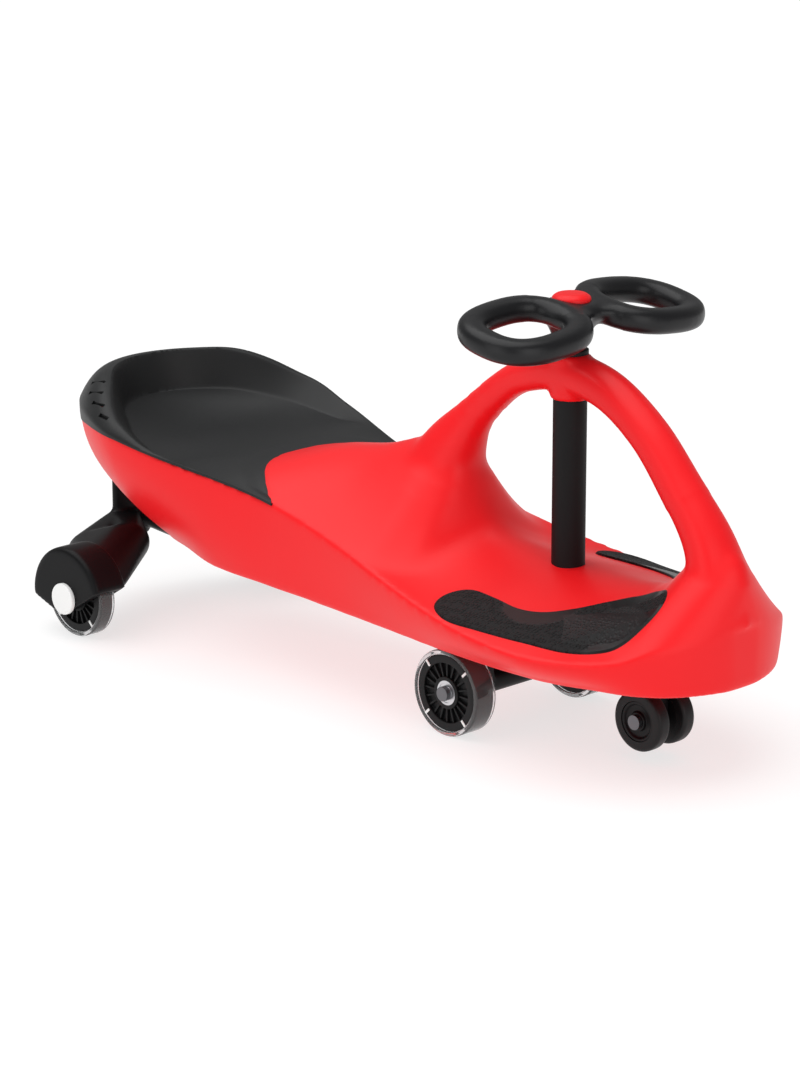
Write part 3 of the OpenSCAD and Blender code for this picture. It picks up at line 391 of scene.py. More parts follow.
def fullness(run, length, power):
    return sqrt(1 - taper(run, length, power))


def rim_half(x):
    """Half width at the rim, the widest line round the moulding."""
    if x < SEAT:
        return SEAT_HALF * fullness(SEAT - max(x, TAIL), SEAT_REACH, TAIL_ROUND)
    if x < CORNER:
        return mix(SEAT_HALF, WAIST_HALF, ease((x - SEAT) / (CORNER - SEAT)))
    if x < DECK:
        return mix(WAIST_HALF, DECK_HALF, ease((x - CORNER) / (DECK - CORNER)))
    return DECK_HALF * fullness(min(x, NOSE) - DECK, NOSE - DECK, NOSE_ROUND)


def belly(x):
    """Height of the belly, which sweeps up to the tail."""
    low = FLOOR_Z + BELLY_RISE * clamp((BELLY_LEVEL - x) / (COLUMN - STERN))
    u = clamp((STERN - x) / (STERN - TAIL))
    return mix(low, STERN_LIFT, 1 - (1 - u**STERN_POWER) ** (1 / STERN_POWER))


def soft(v):
    """Distance from the middle with a rounded ridge, 0 to 1."""
    return (sqrt(v * v + RIDGE_SOFT**2) - RIDGE_SOFT) / (sqrt(1 + RIDGE_SOFT**2) - RIDGE_SOFT)


def ring_at(x, v):
    """How far out a place lies in the seat, 0 in the middle and 1 on the rim."""
    u = taper(SEAT - max(x, TAIL), SEAT_REACH, TAIL_ROUND) if x < SEAT else 0
    return sqrt(u + (1 - u) * min(v, 1) ** 2)


def bowl(x, v):
    """Height in the seat: a dished pan, a wall up to the crest, and a band that falls to the rim."""
    ring, foot, crest = ring_at(x, v), curve(FOOT_RING, x), curve(CREST_RING, x)
    low, high = curve(FOOT_HEIGHT, x), curve(CREST_HEIGHT, x)
    if ring < foot:
        return mix(PAN_Z, low, (ring / foot) ** 2)
    if ring < crest:
        return mix(low, high, 1 - (1 - (ring - foot) / (crest - foot)) ** WALL_POWER)
    return mix(high, curve(RIM, x), ((ring - crest) / (1 - crest)) ** BAND_POWER)


def ridge(x, v):
    """Height ahead of the seat: a ridge in the middle that falls to the rim."""
    fall = max(1 - soft(min(v, 1)) ** curve(FLATNESS, x), 0) ** curve(STEEPNESS, x)
    return mix(curve(RIM, x), curve(CROWN, x), fall)


def top(x, v):
    """Height of the upper skin, v being 0 in the middle and 1 at the rim."""
    ahead = ease((x - BOWL_END + BOWL_BLEND) / BOWL_BLEND)
    return mix(bowl(x, v), ridge(x, v), ahead)


def deck_at(x, y):
    return top(x, abs(y) / rim_half(x))


print("pan at", round(top(SEAT, 0)), "hump at", round(top(HUMP, 0)))

# %% [markdown]
# ## The red moulding
# The body is blow moulded in one piece, so the arch grows out of the hump and the nose with wide soft
# roots. The hull and the arch are two skins first: a grid is laid over rows of points, as a sheet is
# drawn over a mould. A voxel remesh then makes one closed skin of both, and smoothing passes round the
# roots into the flowing fillets of the real moulding. Booleans would leave a hard seam there, and a bevel
# can't follow so uneven an edge.


# %% Skin helpers
def lay_out(bm, name):
    """Put a bmesh into the scene as a rough object."""
    mesh = bpy.data.meshes.new(name)
    bm.to_mesh(mesh)
    bm.free()
    rough = bpy.data.objects.new(name, mesh)
    bpy.context.scene.collection.objects.link(rough)
    return rough


def take_up(*roughs):
    """The first rough object with its modifier done, as a bmesh. All of them are removed."""
    result = bmesh.new()
    result.from_object(roughs[0], bpy.context.evaluated_depsgraph_get())
    for rough in roughs:
        mesh = rough.data
        bpy.data.objects.remove(rough)
        bpy.data.meshes.remove(mesh)
    return result


def skin(bm, rings, joined=False):
    """Lay a grid over rings of points, weld its seam, and close its ends unless it is joined to itself."""
    rows = rings + rings[:1] if joined else rings
    count, last = len(rings[0]), len(rows) - 1
    verts = bmesh.ops.create_grid(bm, x_segments=count, y_segments=last, size=1)["verts"]
    for vert in verts:
        column = round((vert.co.x + 1) / 2 * count) % count
        row = round((vert.co.y + 1) / 2 * last)
        vert.co = rows[row][column]
    bmesh.ops.remove_doubles(bm, verts=verts, dist=1e-4)
    rim = [e for e in bm.edges if e.is_boundary]
    if rim:
        bmesh.ops.holes_fill(bm, edges=rim)
    bmesh.ops.recalc_face_normals(bm, faces=bm.faces)


def fuse(bm, voxel, passes):
    """Make one closed skin of what overlaps, and smooth it: passes is a list of (count, where)."""
    rough = lay_out(bm, "rough")
    net = rough.modifiers.new("net", "REMESH")
    net.mode = "VOXEL"
    net.voxel_size = voxel
    fused = take_up(rough)
    for count, where in passes:
        chosen = [v for v in fused.verts if where(v.co)]
        for _ in range(count):
            bmesh.ops.smooth_vert(
                fused, verts=chosen, factor=0.5, use_axis_x=True, use_axis_y=True, use_axis_z=True,
            )
    return fused


# %% [markdown]
# A half section runs from the middle of the belly over a small chine, up the side to the rim and over the
# top to the middle. Under the seat the top is sunk to make room for the tray. Many rows close together at
# both ends let the tail and the nose come out round.

# %% Hull
HULL_ROWS = 240
TOP_STEPS, SIDE_STEPS, BELLY_STEPS = 44, 16, 10
TONGUE_LEN, TONGUE_BEND = 71, 2.2
BED_DEEP, BED_RAMP = 4, 4
BED_EDGE, BED_FADE = 0.93, 0.07
CHINE_CUT = 0.3


def front_edge(v):
    """Where the seat ends against the tongue, for a place across the car."""
    return TONGUE + TONGUE_LEN * min(abs(v), 1) ** TONGUE_BEND


def bed(x, v):
    """How deep the moulding is sunk under the seat, which leaves a lip round the tongue."""
    return BED_DEEP * ease((front_edge(v) - x) / BED_RAMP) * (1 - ease((v - BED_EDGE) / BED_FADE))


def half_section(x):
    """One half of a cross-section, from the middle of the belly to the middle of the top."""
    w = rim_half(x)
    k = w - curve(TUCK, x)
    low, high = belly(x), curve(RIM, x)
    r = min(CHINE, k / 3)
    points = []
    for i in range(BELLY_STEPS + 1):
        y = (k - r) * i / BELLY_STEPS
        points.append((y, low + BELLY_CAMBER * (y / k) ** 2))
    points.append((k - CHINE_CUT * r, low + BELLY_CAMBER + CHINE_CUT * r))
    for i in range(SIDE_STEPS + 1):
        s = i / SIDE_STEPS
        points.append((mix(k, w, 1 - (1 - s) ** 2), mix(low + BELLY_CAMBER + r, high, s)))
    for i in range(TOP_STEPS - 1, -1, -1):
        v = i / TOP_STEPS
        points.append((w * v, top(x, v) - bed(x, v)))
    return points


def hull_ring(x):
    half = half_section(x)
    right = [(x, -y, z) for y, z in half]
    return right + [(x, y, z) for y, z in half[-2:0:-1]]


hull = bmesh.new()
skin(hull, [hull_ring(mix(TAIL, NOSE, (1 - cos(pi * i / HULL_ROWS)) / 2)) for i in range(HULL_ROWS + 1)])
print("hull", len(hull.verts), "points")

# %% [markdown]
# The arch is a tube with a roof: its outer side has a ridge along the middle and a soft crease on each
# shoulder, as a moulding has that must come out of a two-part mould.

# %% Arch
ARCH_Z = 321
ARCH_LINE = [
    (-164, -125), (-137.5, -88), (-113, -57), (-73.5, -23), (-39.5, -7.5), (0, 0),
    (47.5, -9), (93, -38), (130, -78), (159.5, -114), (175, -150), (180, -185),
]
ARCH_THICK = [
    (0, 30), (0.09, 26), (0.18, 17), (0.27, 13.5), (0.45, 16), (0.6, 15), (0.73, 16), (0.86, 19), (1, 25),
]
ARCH_WIDE = [
    (0, 38), (0.09, 27), (0.18, 17), (0.27, 14), (0.45, 19), (0.6, 18.5), (0.73, 20), (0.86, 26),
    (0.93, 33), (1, 44),
]
ARCH_ROWS, ARCH_SIDES = 160, 48
ARCH_POWER, ROOF_FALL = 2.8, 0.26


def squarish(a, power):
    return (1 if a > 0 else -1) * abs(a) ** (2 / power)


def arch_at(s):
    p = through(ARCH_LINE, s * (len(ARCH_LINE) - 1))
    return Vector((COLUMN + p.x, 0, ARCH_Z + p.y))


def arch_ring(s):
    step = 0.5 / ARCH_ROWS
    along = (arch_at(min(s + step, 1)) - arch_at(max(s - step, 0))).normalized()
    out = Vector((-along.z, 0, along.x))
    t, w = curve(ARCH_THICK, s), curve(ARCH_WIDE, s)
    ring = []
    for j in range(ARCH_SIDES):
        turn = 2 * pi * j / ARCH_SIDES
        across = squarish(cos(turn), ARCH_POWER)
        up = squarish(sin(turn), ARCH_POWER)
        if up > 0:
            up *= 1 + ROOF_FALL * (0.5 - abs(across))
        ring.append(arch_at(s) + out * (t * up) + Vector((0, w * across, 0)))
    return ring


skin(hull, [arch_ring(i / ARCH_ROWS) for i in range(ARCH_ROWS + 1)])
BOSS_R, BOSS_LOW, BOSS_TOP = 18, ARCH_Z - 23, ARCH_Z + 17
bmesh.ops.create_cone(
    hull, cap_ends=True, segments=64, radius1=BOSS_R, radius2=BOSS_R, depth=BOSS_TOP - BOSS_LOW,
    matrix=Matrix.Translation((COLUMN, 0, (BOSS_LOW + BOSS_TOP) / 2)),
)
print("hull and arch", len(hull.verts), "points")

# %% [markdown]
# The whole skin gets a few smoothing passes. The rear root of the arch gets many more, in balls that
# shrink towards its middle, so that the fillet fades out into the skin around it. The front root is
# smaller, and one such ball is enough.

# %% One skin
BODY_VOXEL, BODY_SMOOTH = 2.8, 4
REAR_PASSES = [(12, 66), (16, 50), (10, 36)]
FRONT_SMOOTH, FRONT_SPAN, FRONT_LOW = 14, 60, 176
REAR_ROOT = Vector((HUMP + 8, 0, 238))
FRONT_ROOT = Vector((LEG + 6, 0, 190))


def near(root, span):
    return lambda p: (p - root).length < span


def everywhere(p):
    return True


def front_fillet(p):
    return p.z > FRONT_LOW and (p - FRONT_ROOT).length < FRONT_SPAN


rear_fillets = [(count, near(REAR_ROOT, span)) for count, span in REAR_PASSES]
moulding = fuse(hull, BODY_VOXEL, [(BODY_SMOOTH, everywhere), *rear_fillets, (FRONT_SMOOTH, front_fillet)])
piece("body_skin", moulding, "chassis", red_plastic, ["body_shell"], crease=60)

# %% [markdown]
# ## Seat
# The seat is a black moulded tray that lies on the red body and hooks over its rim. A grid is laid over
# the same upper skin, a hair above it. The grid runs over the rim and a little way down the side, most at
# the tail, where the real seat shows a tall black band. At the front it dips below the red tongue, so
# that the red lip stands proud of the black as it does on the toy. Solidify then gives the tray its wall.

# %% Seat tray
TRAY_LIFT, TRAY_DIP, TRAY_WALL = 0.8, 1.2, 3.6
TRAY_UNDER = 9
TRAY_ROWS, TRAY_COLS, BAND_COLS = 150, 84, 5
BAND_TAIL, BAND_FRONT, BAND_FADE = 18, 1.6, 165
DIP_RAMP, DIP_SLOPE, DIP_EDGE, DIP_FADE = 30, 0.25, 0.9, 0.08
TAIL_BLEND, UNDER_POWER, ROW_CROWD = 12, 6, 1.25


def band(x):
    """How far the tray comes down over the side."""
    return mix(BAND_TAIL, BAND_FRONT, ease((x - TAIL) / BAND_FADE))


def side_point(x, drop):
    """A point on the side of the hull, a drop below the rim."""
    w = rim_half(x)
    k = w - curve(TUCK, x)
    high, low = curve(RIM, x), belly(x) + BELLY_CAMBER + min(CHINE, k / 3)
    s = clamp((high - drop - low) / (high - low))
    return mix(k, w, 1 - (1 - s) ** 2), high - drop


def tray_point(u, column):
    """A point of the tray: u runs from tail to front, column across and down both sides."""
    over = max(abs(column) - TRAY_COLS, 0)
    v = min(abs(column) / TRAY_COLS, 1)
    hand = 1 if column > 0 else -1
    x = mix(TAIL, front_edge(v) + TRAY_UNDER * (1 - v**UNDER_POWER), u)
    if over:
        y, z = side_point(x, band(x) * over / BAND_COLS)
        y += TRAY_LIFT
    else:
        ahead = front_edge(v) - x
        dip = (TRAY_LIFT + TRAY_DIP) * (1 - ease(ahead / DIP_RAMP)) + DIP_SLOPE * max(-ahead, 0)
        y = v * (rim_half(x) + TRAY_LIFT)
        z = top(x, v) + TRAY_LIFT - dip * (1 - ease((v - DIP_EDGE) / DIP_FADE))
    return (x - TRAY_LIFT * (1 - ease((x - TAIL) / TAIL_BLEND)), hand * y, z)


tray = bmesh.new()
across = 2 * (TRAY_COLS + BAND_COLS)
bmesh.ops.create_grid(tray, x_segments=across, y_segments=TRAY_ROWS, size=1)
for vert in tray.verts:
    column = round((vert.co.x + 1) / 2 * across) - across // 2
    row = round((vert.co.y + 1) / 2 * TRAY_ROWS)
    vert.co = tray_point((row / TRAY_ROWS) ** ROW_CROWD, column)
tail_edges = [e for e in tray.edges if e.is_boundary and max(v.co.x for v in e.verts) < TAIL]
tail_loop = set(tail_edges)
ends = [v for v in tray.verts if sum(e in tail_loop for e in v.link_edges) == 1]
closing = bmesh.ops.contextual_create(tray, geom=ends)["edges"]
bmesh.ops.edgeloop_fill(tray, edges=tail_edges + closing)
bmesh.ops.recalc_face_normals(tray, faces=tray.faces)
if sum(f.normal.z for f in tray.faces) < 0:
    bmesh.ops.reverse_faces(tray, faces=tray.faces[:])
bmesh.ops.solidify(tray, geom=tray.faces[:], thickness=TRAY_WALL)
print("tray", len(tray.verts), "points")

# %% [markdown]
# Four shallow slots mark each side of the rear rim, where a hand takes hold to lift the car. Each is cut
# with a straight bar laid between two points of the rim, because a boolean keeps its edges crisp.

# %% Slots in the rear rim
SLOT_W, SLOT_DEPTH = 3.4, 1.9
SLOTS = [
    ((87, 91), (66, 90)), ((99, 104), (76, 101)), ((114, 115), (94, 112)), ((130, 124), (116, 122)),
]


def tray_spot(hand, ahead, y):
    """A point on the tray, by how far it lies ahead of the tail and beside the middle."""
    return Vector((TAIL + ahead, hand * y, deck_at(TAIL + ahead, y) + TRAY_LIFT))


def carve(bm, cutter):
    """Cut one closed mesh out of another."""
    rough, tool = lay_out(bm, "rough"), lay_out(cutter, "cutter")
    cut = rough.modifiers.new("cut", "BOOLEAN")
    cut.operation = "DIFFERENCE"
    cut.solver = "MANIFOLD"
    cut.object = tool
    return take_up(rough, tool)


bars = bmesh.new()
for hand in (-1, 1):
    for ends in SLOTS:
        inner, outer = (tray_spot(hand, *end) for end in ends)
        along = (outer - inner).normalized()
        side = Vector((0, 0, 1)).cross(along).normalized()
        slot_turn = Matrix((along, side, along.cross(side))).transposed().to_4x4()
        size = Matrix.Diagonal(((outer - inner).length, SLOT_W, 2 * SLOT_DEPTH, 1))
        bmesh.ops.create_cube(bars, size=1, matrix=Matrix.Translation((inner + outer) / 2) @ slot_turn @ size)
tray = carve(tray, bars)
piece("seat_tray", tray, "chassis", seat_plastic, ["seat_insert"], crease=50)

# %% [markdown]
# ## Rubber for the foot pads
# Most of a pad has raised dots, so that a wet shoe doesn't slip. There are about a thousand on each pad,
# each smaller than a grain of rice, so they are a bump and not geometry: cells of a Voronoi pattern, each
# rounded to a dome. A value on each point of the pad tells the finish where the dots fade and the rubber
# turns smooth and shinier.

# %% Dotted rubber
DOT_PITCH, DOT_SCATTER, DOT_HEIGHT = 3.4, 0.6, 1.6 * MM
DOT_TOP, DOT_FOOT = 0.15, 0.55
SMOOTH_ROUGH, DOTTED_ROUGH = 0.33, 0.75
pad_rubber = moulded(
    "pad_rubber", (0.006, 0.006, 0.0065), 0.52, drift=0.12, grain=1200.0, bump=0.2, shine=0.3,
)
tree = pad_rubber.node_tree
shader = main_shader(pad_rubber)
relief = tree.nodes["Bump"]
coords = tree.nodes["Texture Coordinate"]
dots = tree.nodes.new("ShaderNodeTexVoronoi")
set_inputs(dots, Scale=1 / (DOT_PITCH * MM), Randomness=DOT_SCATTER)
tree.links.new(coords.outputs["Object"], dots.inputs["Vector"])
dome = tree.nodes.new("ShaderNodeMapRange")
dome.interpolation_type = "SMOOTHSTEP"
set_inputs(dome, From_Min=DOT_TOP, From_Max=DOT_FOOT, To_Min=1.0, To_Max=0.0)
tree.links.new(dots.outputs["Distance"], dome.inputs["Value"])
tread = tree.nodes.new("ShaderNodeAttribute")
tread.attribute_name = "tread"
raised = tree.nodes.new("ShaderNodeMath")
raised.operation = "MULTIPLY"
tree.links.new(dome.outputs["Result"], raised.inputs[0])
tree.links.new(tread.outputs["Fac"], raised.inputs[1])
sheen = set_inputs(tree.nodes.new("ShaderNodeMapRange"), To_Min=SMOOTH_ROUGH, To_Max=DOTTED_ROUGH)
tree.links.new(tread.outputs["Fac"], sheen.inputs["Value"])
tree.links.new(sheen.outputs["Result"], shader.inputs["Roughness"])
studs = set_inputs(tree.nodes.new("ShaderNodeBump"), Strength=1.0, Distance=DOT_HEIGHT)
tree.links.new(raised.outputs["Value"], studs.inputs["Height"])
tree.links.new(relief.outputs["Normal"], studs.inputs["Normal"])
tree.links.new(studs.outputs["Normal"], shader.inputs["Normal"])
print("dots every", DOT_PITCH, "mm")

# %% [markdown]
# ## Foot pads
# Two rubber pads lie in the deck. Their outline is drawn by a few points and smoothed. Rings grow from a
# point in the middle to the outline and follow the deck, the last ones roll over the edge. A crescent
# beside the inner edge and the front end are smooth. One pad is drawn and made for both sides.

# %% Pads
PAD_LINE = [
    (-54, 104), (-50, 88), (-36, 80), (-8, 82), (22, 85), (48, 78), (70, 62), (90, 42), (110, 29), (132, 28),
    (150, 38), (157, 52), (151, 70), (137, 95), (105, 113), (61, 121), (11, 125), (-22, 127), (-44, 119),
]
PAD_HEART = (55, 97)
PAD_RISE, PAD_SINK, PAD_ROLL = 2.2, 2, 2.4
PAD_AROUND, PAD_RINGS = 216, 46
CRESCENT = (38, 70, 37, 32)
FRONT_PATCHES = [(138, 47, 21, 8), (141, 64, 11, 5)]
DOTS_END, DOTS_BEND, DOTS_FADE = (116, 80), 0.025, 4
PATCH_EDGE, PATCH_FADE = 0.95, 0.1


def closed_line(points, s):
    n = len(points)
    return through([points[(int(s) + k) % n] for k in (-1, 0, 1, 2)], 1 + s - int(s))


def outside(oval, x, y):
    """0 inside an oval of (middle x, middle y, half length, half width), 1 outside."""
    a, b = (x - oval[0]) / oval[2], (y - oval[1]) / oval[3]
    return ease((sqrt(a * a + b * b) - PATCH_EDGE) / PATCH_FADE)


def tread_at(x, y):
    """1 where the pad has dots, 0 where it is smooth."""
    last = DOTS_END[0] - DOTS_BEND * min(y - DOTS_END[1], 0) ** 2
    main = outside(CRESCENT, x, y) * (1 - ease((x - last) / DOTS_FADE))
    return max([main] + [1 - outside(patch, x, y) for patch in FRONT_PATCHES])


def pad_mesh(hand):
    edge = [closed_line(PAD_LINE, i * len(PAD_LINE) / PAD_AROUND) for i in range(PAD_AROUND)]
    rings = []
    for i in range(PAD_RINGS + 1):
        f = i / PAD_RINGS
        ring = []
        for p in edge:
            run = Vector((p.x - PAD_HEART[0], p.y - PAD_HEART[1]))
            inward = (1 - f) * run.length
            x, y = PAD_HEART[0] + f * run.x, PAD_HEART[1] + f * run.y
            roll = PAD_ROLL - min(inward, PAD_ROLL)
            drop = PAD_RISE * (1 - sqrt(max(1 - (roll / PAD_ROLL) ** 2, 0)))
            ring.append((COLUMN + x, hand * y, deck_at(COLUMN + x, y) + PAD_RISE - drop))
        rings.append(ring)
    rings.append([(x, y, z - PAD_SINK) for x, y, z in rings[-1]])
    bm = bmesh.new()
    skin(bm, rings)
    tread_layer = bm.verts.layers.float.new("tread")
    for vert in bm.verts:
        vert[tread_layer] = tread_at(vert.co.x - COLUMN, abs(vert.co.y))
    return bm


for side, hand in (("left", 1), ("right", -1)):
    piece(f"pad_{side}", pad_mesh(hand), "chassis", pad_rubber, [f"foot_pad_{side}"])

# %% [markdown]
# ## Turned pieces
# Sleeve, caps, wheels and tyres are all round. A profile is drawn as a few corners with a radius, and
# spin turns it about an axis. The corner arcs are worked out in the profile, so no bevel is needed
# afterwards.


# %% Spin helper
MOST_CUT = 0.49


def rounded(corners, steps=5):
    """A profile of (radius, height) from corners of (radius, height, rounding)."""
    points = []
    for i, (r, h, bend) in enumerate(corners):
        here = Vector((r, h))
        if not bend or i in (0, len(corners) - 1):
            points.append(here)
            continue
        back = Vector(corners[i - 1][:2]) - here
        ahead = Vector(corners[i + 1][:2]) - here
        cut = min(bend, back.length * MOST_CUT, ahead.length * MOST_CUT)
        a, b = here + back.normalized() * cut, here + ahead.normalized() * cut
        for n in range(steps + 1):
            t = n / steps
            points.append((1 - t) ** 2 * a + 2 * t * (1 - t) * here + t * t * b)
    return points


def turned(bm, corners, place, around=72):
    """Spin a rounded profile about Z, then put it in its place."""
    before = set(bm.verts)
    profile = rounded(corners)
    chain = [bm.verts.new((p.x, 0, p.y)) for p in profile]
    edges = [bm.edges.new(pair) for pair in zip(chain, chain[1:])]
    bmesh.ops.spin(
        bm, geom=chain + edges, cent=(0, 0, 0), axis=(0, 0, 1), angle=2 * pi, steps=around, use_merge=True,
    )
    verts = [v for v in bm.verts if v not in before]
    bmesh.ops.remove_doubles(bm, verts=verts, dist=1e-3)
    verts = [v for v in verts if v.is_valid]
    bmesh.ops.transform(bm, matrix=place, verts=verts)


def outward(x, y, z):
    """A place for something turned, with its outer face away from the middle of the car."""
    return Matrix.Translation((x, y, z)) @ Matrix.Rotation(radians(90 if y < 0 else -90), 4, "X")


# %% [markdown]
# The column runs in a plain black sleeve, and a red button closes the hub of the steering wheel. Both
# take their size from the frame and only get soft edges here.

# %% Column sleeve and steering cap
SLEEVE_LOW, SLEEVE_HIGH = (v.z for v in reach("column_sleeve"))
SLEEVE_R = reach("column_sleeve")[1].y
column_place = Matrix.Translation((COLUMN, 0, 0))
tube = bmesh.new()
turned(tube, [
    (0, SLEEVE_LOW, 0), (SLEEVE_R, SLEEVE_LOW, 1.5), (SLEEVE_R, SLEEVE_HIGH, 1), (0, SLEEVE_HIGH, 0),
], column_place)
piece("sleeve", tube, "chassis", sleeve_plastic, ["column_sleeve"])
CAP_R, CAP_DOME, CAP_FLAT = reach("steering_cap")[1].y, 4, 0.75
CAP_LOW, CAP_HIGH = (v.z for v in reach("steering_cap"))
dome_top = bmesh.new()
turned(dome_top, [
    (0, CAP_LOW, 0), (CAP_R, CAP_LOW, 0.5), (CAP_R, CAP_HIGH - CAP_DOME, 2),
    (CAP_R * CAP_FLAT, CAP_HIGH - 0.6, 7), (0, CAP_HIGH, 0),
], column_place)
piece("wheel_cap", dome_top, "steering", red_plastic, ["steering_cap"])

# %% [markdown]
# ## Steering wheel
# Two closed hand loops grow out of a hub with a flared neck. Each loop is a squarish grip swept along a
# squarish oval, the hub is turned, and a flattened ball on each side makes the web that joins hub and
# loop. They are fused and smoothed like the body, which gives the poured look of the real wheel.

# %% Steering wheel
WHEEL_Z, LOOP_Y, LOOP_AHEAD = 374, 70, 14
LOOP_LONG, LOOP_SHORT, GRIP_WIDE, GRIP_HIGH, GRIP_POWER = 46.5, 37, 12.5, 11.3, 2.5
LOOP_POWER, LOOP_DROOP, LOOP_PITCH = 2.5, 4, 0.20
WEB_Y, WEB_SHIFT, WEB_SIZE = 17, 2, (34, 22, 10)
LOOP_STEPS, GRIP_STEPS = 120, 28
NECK_LOW = reach("steering_wheel")[0].z
NECK_R, FLARE_R, HUB_R, HUB_TOP = 14.5, 20.5, 30, 385
CAP_SEAT, CAP_LIP = 3, 3
HELM_VOXEL, HELM_SMOOTH, HUB_SMOOTH, HUB_SPAN = 1.8, 5, 16, 46


def loop_at(hand, s):
    turn = 2 * pi * s
    out = LOOP_LONG * squarish(cos(turn), LOOP_POWER)
    along = LOOP_SHORT * squarish(sin(turn), LOOP_POWER)
    ahead = LOOP_AHEAD + along
    height = WHEEL_Z - LOOP_DROOP * out / LOOP_LONG - LOOP_PITCH * ahead
    return Vector((COLUMN + ahead, hand * (LOOP_Y + out), height))


def loop_ring(hand, s):
    step = 0.5 / LOOP_STEPS
    along = (loop_at(hand, s + step) - loop_at(hand, s - step)).normalized()
    flat = along.cross(Vector((0, 0, 1))).normalized()
    up = flat.cross(along)
    turns = [2 * pi * j / GRIP_STEPS for j in range(GRIP_STEPS)]
    corners = [(squarish(cos(a), GRIP_POWER), squarish(sin(a), GRIP_POWER)) for a in turns]
    return [loop_at(hand, s) + flat * GRIP_WIDE * c + up * GRIP_HIGH * h for c, h in corners]


helm = bmesh.new()
for hand in (-1, 1):
    skin(helm, [loop_ring(hand, i / LOOP_STEPS) for i in range(LOOP_STEPS)], joined=True)
    web = Matrix.Translation((COLUMN + WEB_SHIFT, hand * WEB_Y, WHEEL_Z + WEB_SHIFT))
    web = web @ Matrix.Diagonal((*WEB_SIZE, 1))
    bmesh.ops.create_uvsphere(helm, u_segments=48, v_segments=24, radius=1, matrix=web)
turned(helm, [
    (0, NECK_LOW, 0), (NECK_R, NECK_LOW, 0), (NECK_R + 1, NECK_LOW + 8, 6), (FLARE_R, WHEEL_Z - 10, 8),
    (HUB_R, WHEEL_Z - 2, 6), (HUB_R, WHEEL_Z + 6, 5), (CAP_R + CAP_LIP, HUB_TOP, 2), (CAP_R, HUB_TOP, 0),
    (CAP_R, HUB_TOP - CAP_SEAT, 0), (0, HUB_TOP - CAP_SEAT, 0),
], column_place)
hub_root = Vector((COLUMN, 0, WHEEL_Z - 6))
helm = fuse(helm, HELM_VOXEL, [(HELM_SMOOTH, everywhere), (HUB_SMOOTH, near(hub_root, HUB_SPAN))])
piece("helm", helm, "steering", grip_plastic, ["steering_wheel"], crease=60)

# %% [markdown]
# ## Road wheels
# A road wheel is a black core with thin ribs between hub and rim, cast into a clear tyre. Small lamp
# slits sit at the rim, four to a wheel. Core, slits and tyre are drawn along Z and turned to the side of
# the car they belong to.

# %% Wheel helpers
WHEEL_R, DRUM_R = 39, 35
TYRE_IN, TYRE_LIP, TYRE_EDGE, TYRE_BEND = 34.6, 0.8, 0.6, 5
HUB_IN, HUB_OUT, RIB_IN, RIB_OUT, RIB_T = 11.1, 14.5, 13.5, 27, 1.7
RIM_INSET, POCKET_DEEP, RIB_INSET, RIB_SOFT = 1, 5, 2.2, 0.35
SLIT_AT, SLIT_SIZE, SLIT_INSET, SLIT_TURN, SLIT_SOFT = 31.5, (6.4, 2.2, 1.2), 0.9, 44, 0.3
RIBS, SLITS = 20, 4


def soft_bar(bm, matrix, soft):
    """A bar with rounded edges."""
    corners = bmesh.ops.create_cube(bm, size=1, matrix=matrix)["verts"]
    edges = list(dict.fromkeys(e for v in corners for e in v.link_edges))
    bmesh.ops.bevel(bm, geom=edges, offset=soft, segments=2, profile=0.5, affect="EDGES", material=-1)


def wheel_core(half, place):
    bm = bmesh.new()
    face, pocket, rib_half = half - RIM_INSET, half - POCKET_DEEP, half - RIB_INSET
    turned(bm, [
        (HUB_IN, -face, 0), (HUB_OUT, -face, 0.5), (HUB_OUT, -pocket, 0.5), (RIB_OUT, -pocket, 0.5),
        (RIB_OUT, -face, 0.6), (DRUM_R, -face, 2), (DRUM_R, face, 2), (RIB_OUT, face, 0.6),
        (RIB_OUT, pocket, 0.5), (HUB_OUT, pocket, 0.5), (HUB_OUT, face, 0.5), (HUB_IN, face, 0),
        (HUB_IN, -face, 0),
    ], place)
    for i in range(RIBS):
        turn = Matrix.Rotation(2 * pi * i / RIBS, 4, "Z")
        box = Matrix.Translation(((RIB_IN + RIB_OUT) / 2, 0, 0)) @ Matrix.Diagonal(
            (RIB_OUT - RIB_IN + 1, RIB_T, 2 * rib_half, 1))
        soft_bar(bm, place @ turn @ box, RIB_SOFT)
    return bm


def lamp_slits(half, place):
    bm = bmesh.new()
    for i in range(SLITS):
        turn = Matrix.Rotation(2 * pi * i / SLITS + radians(SLIT_TURN), 4, "Z")
        box = Matrix.Translation((SLIT_AT, 0, half - SLIT_INSET)) @ Matrix.Diagonal((*SLIT_SIZE, 1))
        soft_bar(bm, place @ turn @ box, SLIT_SOFT)
    return bm


def tyre(half, place):
    bm = bmesh.new()
    turned(bm, [
        (TYRE_IN, -half + TYRE_EDGE, 0), (TYRE_IN + TYRE_LIP, -half, 0.4), (WHEEL_R, -half, TYRE_BEND),
        (WHEEL_R, half, TYRE_BEND), (TYRE_IN + TYRE_LIP, half, 0.4), (TYRE_IN, half - TYRE_EDGE, 0),
        (TYRE_IN, -half + TYRE_EDGE, 0),
    ], place, around=96)
    return bm


# %% [markdown]
# The wheels differ only in width and place, so a loop makes all four and reads both from the frame's
# tyres.

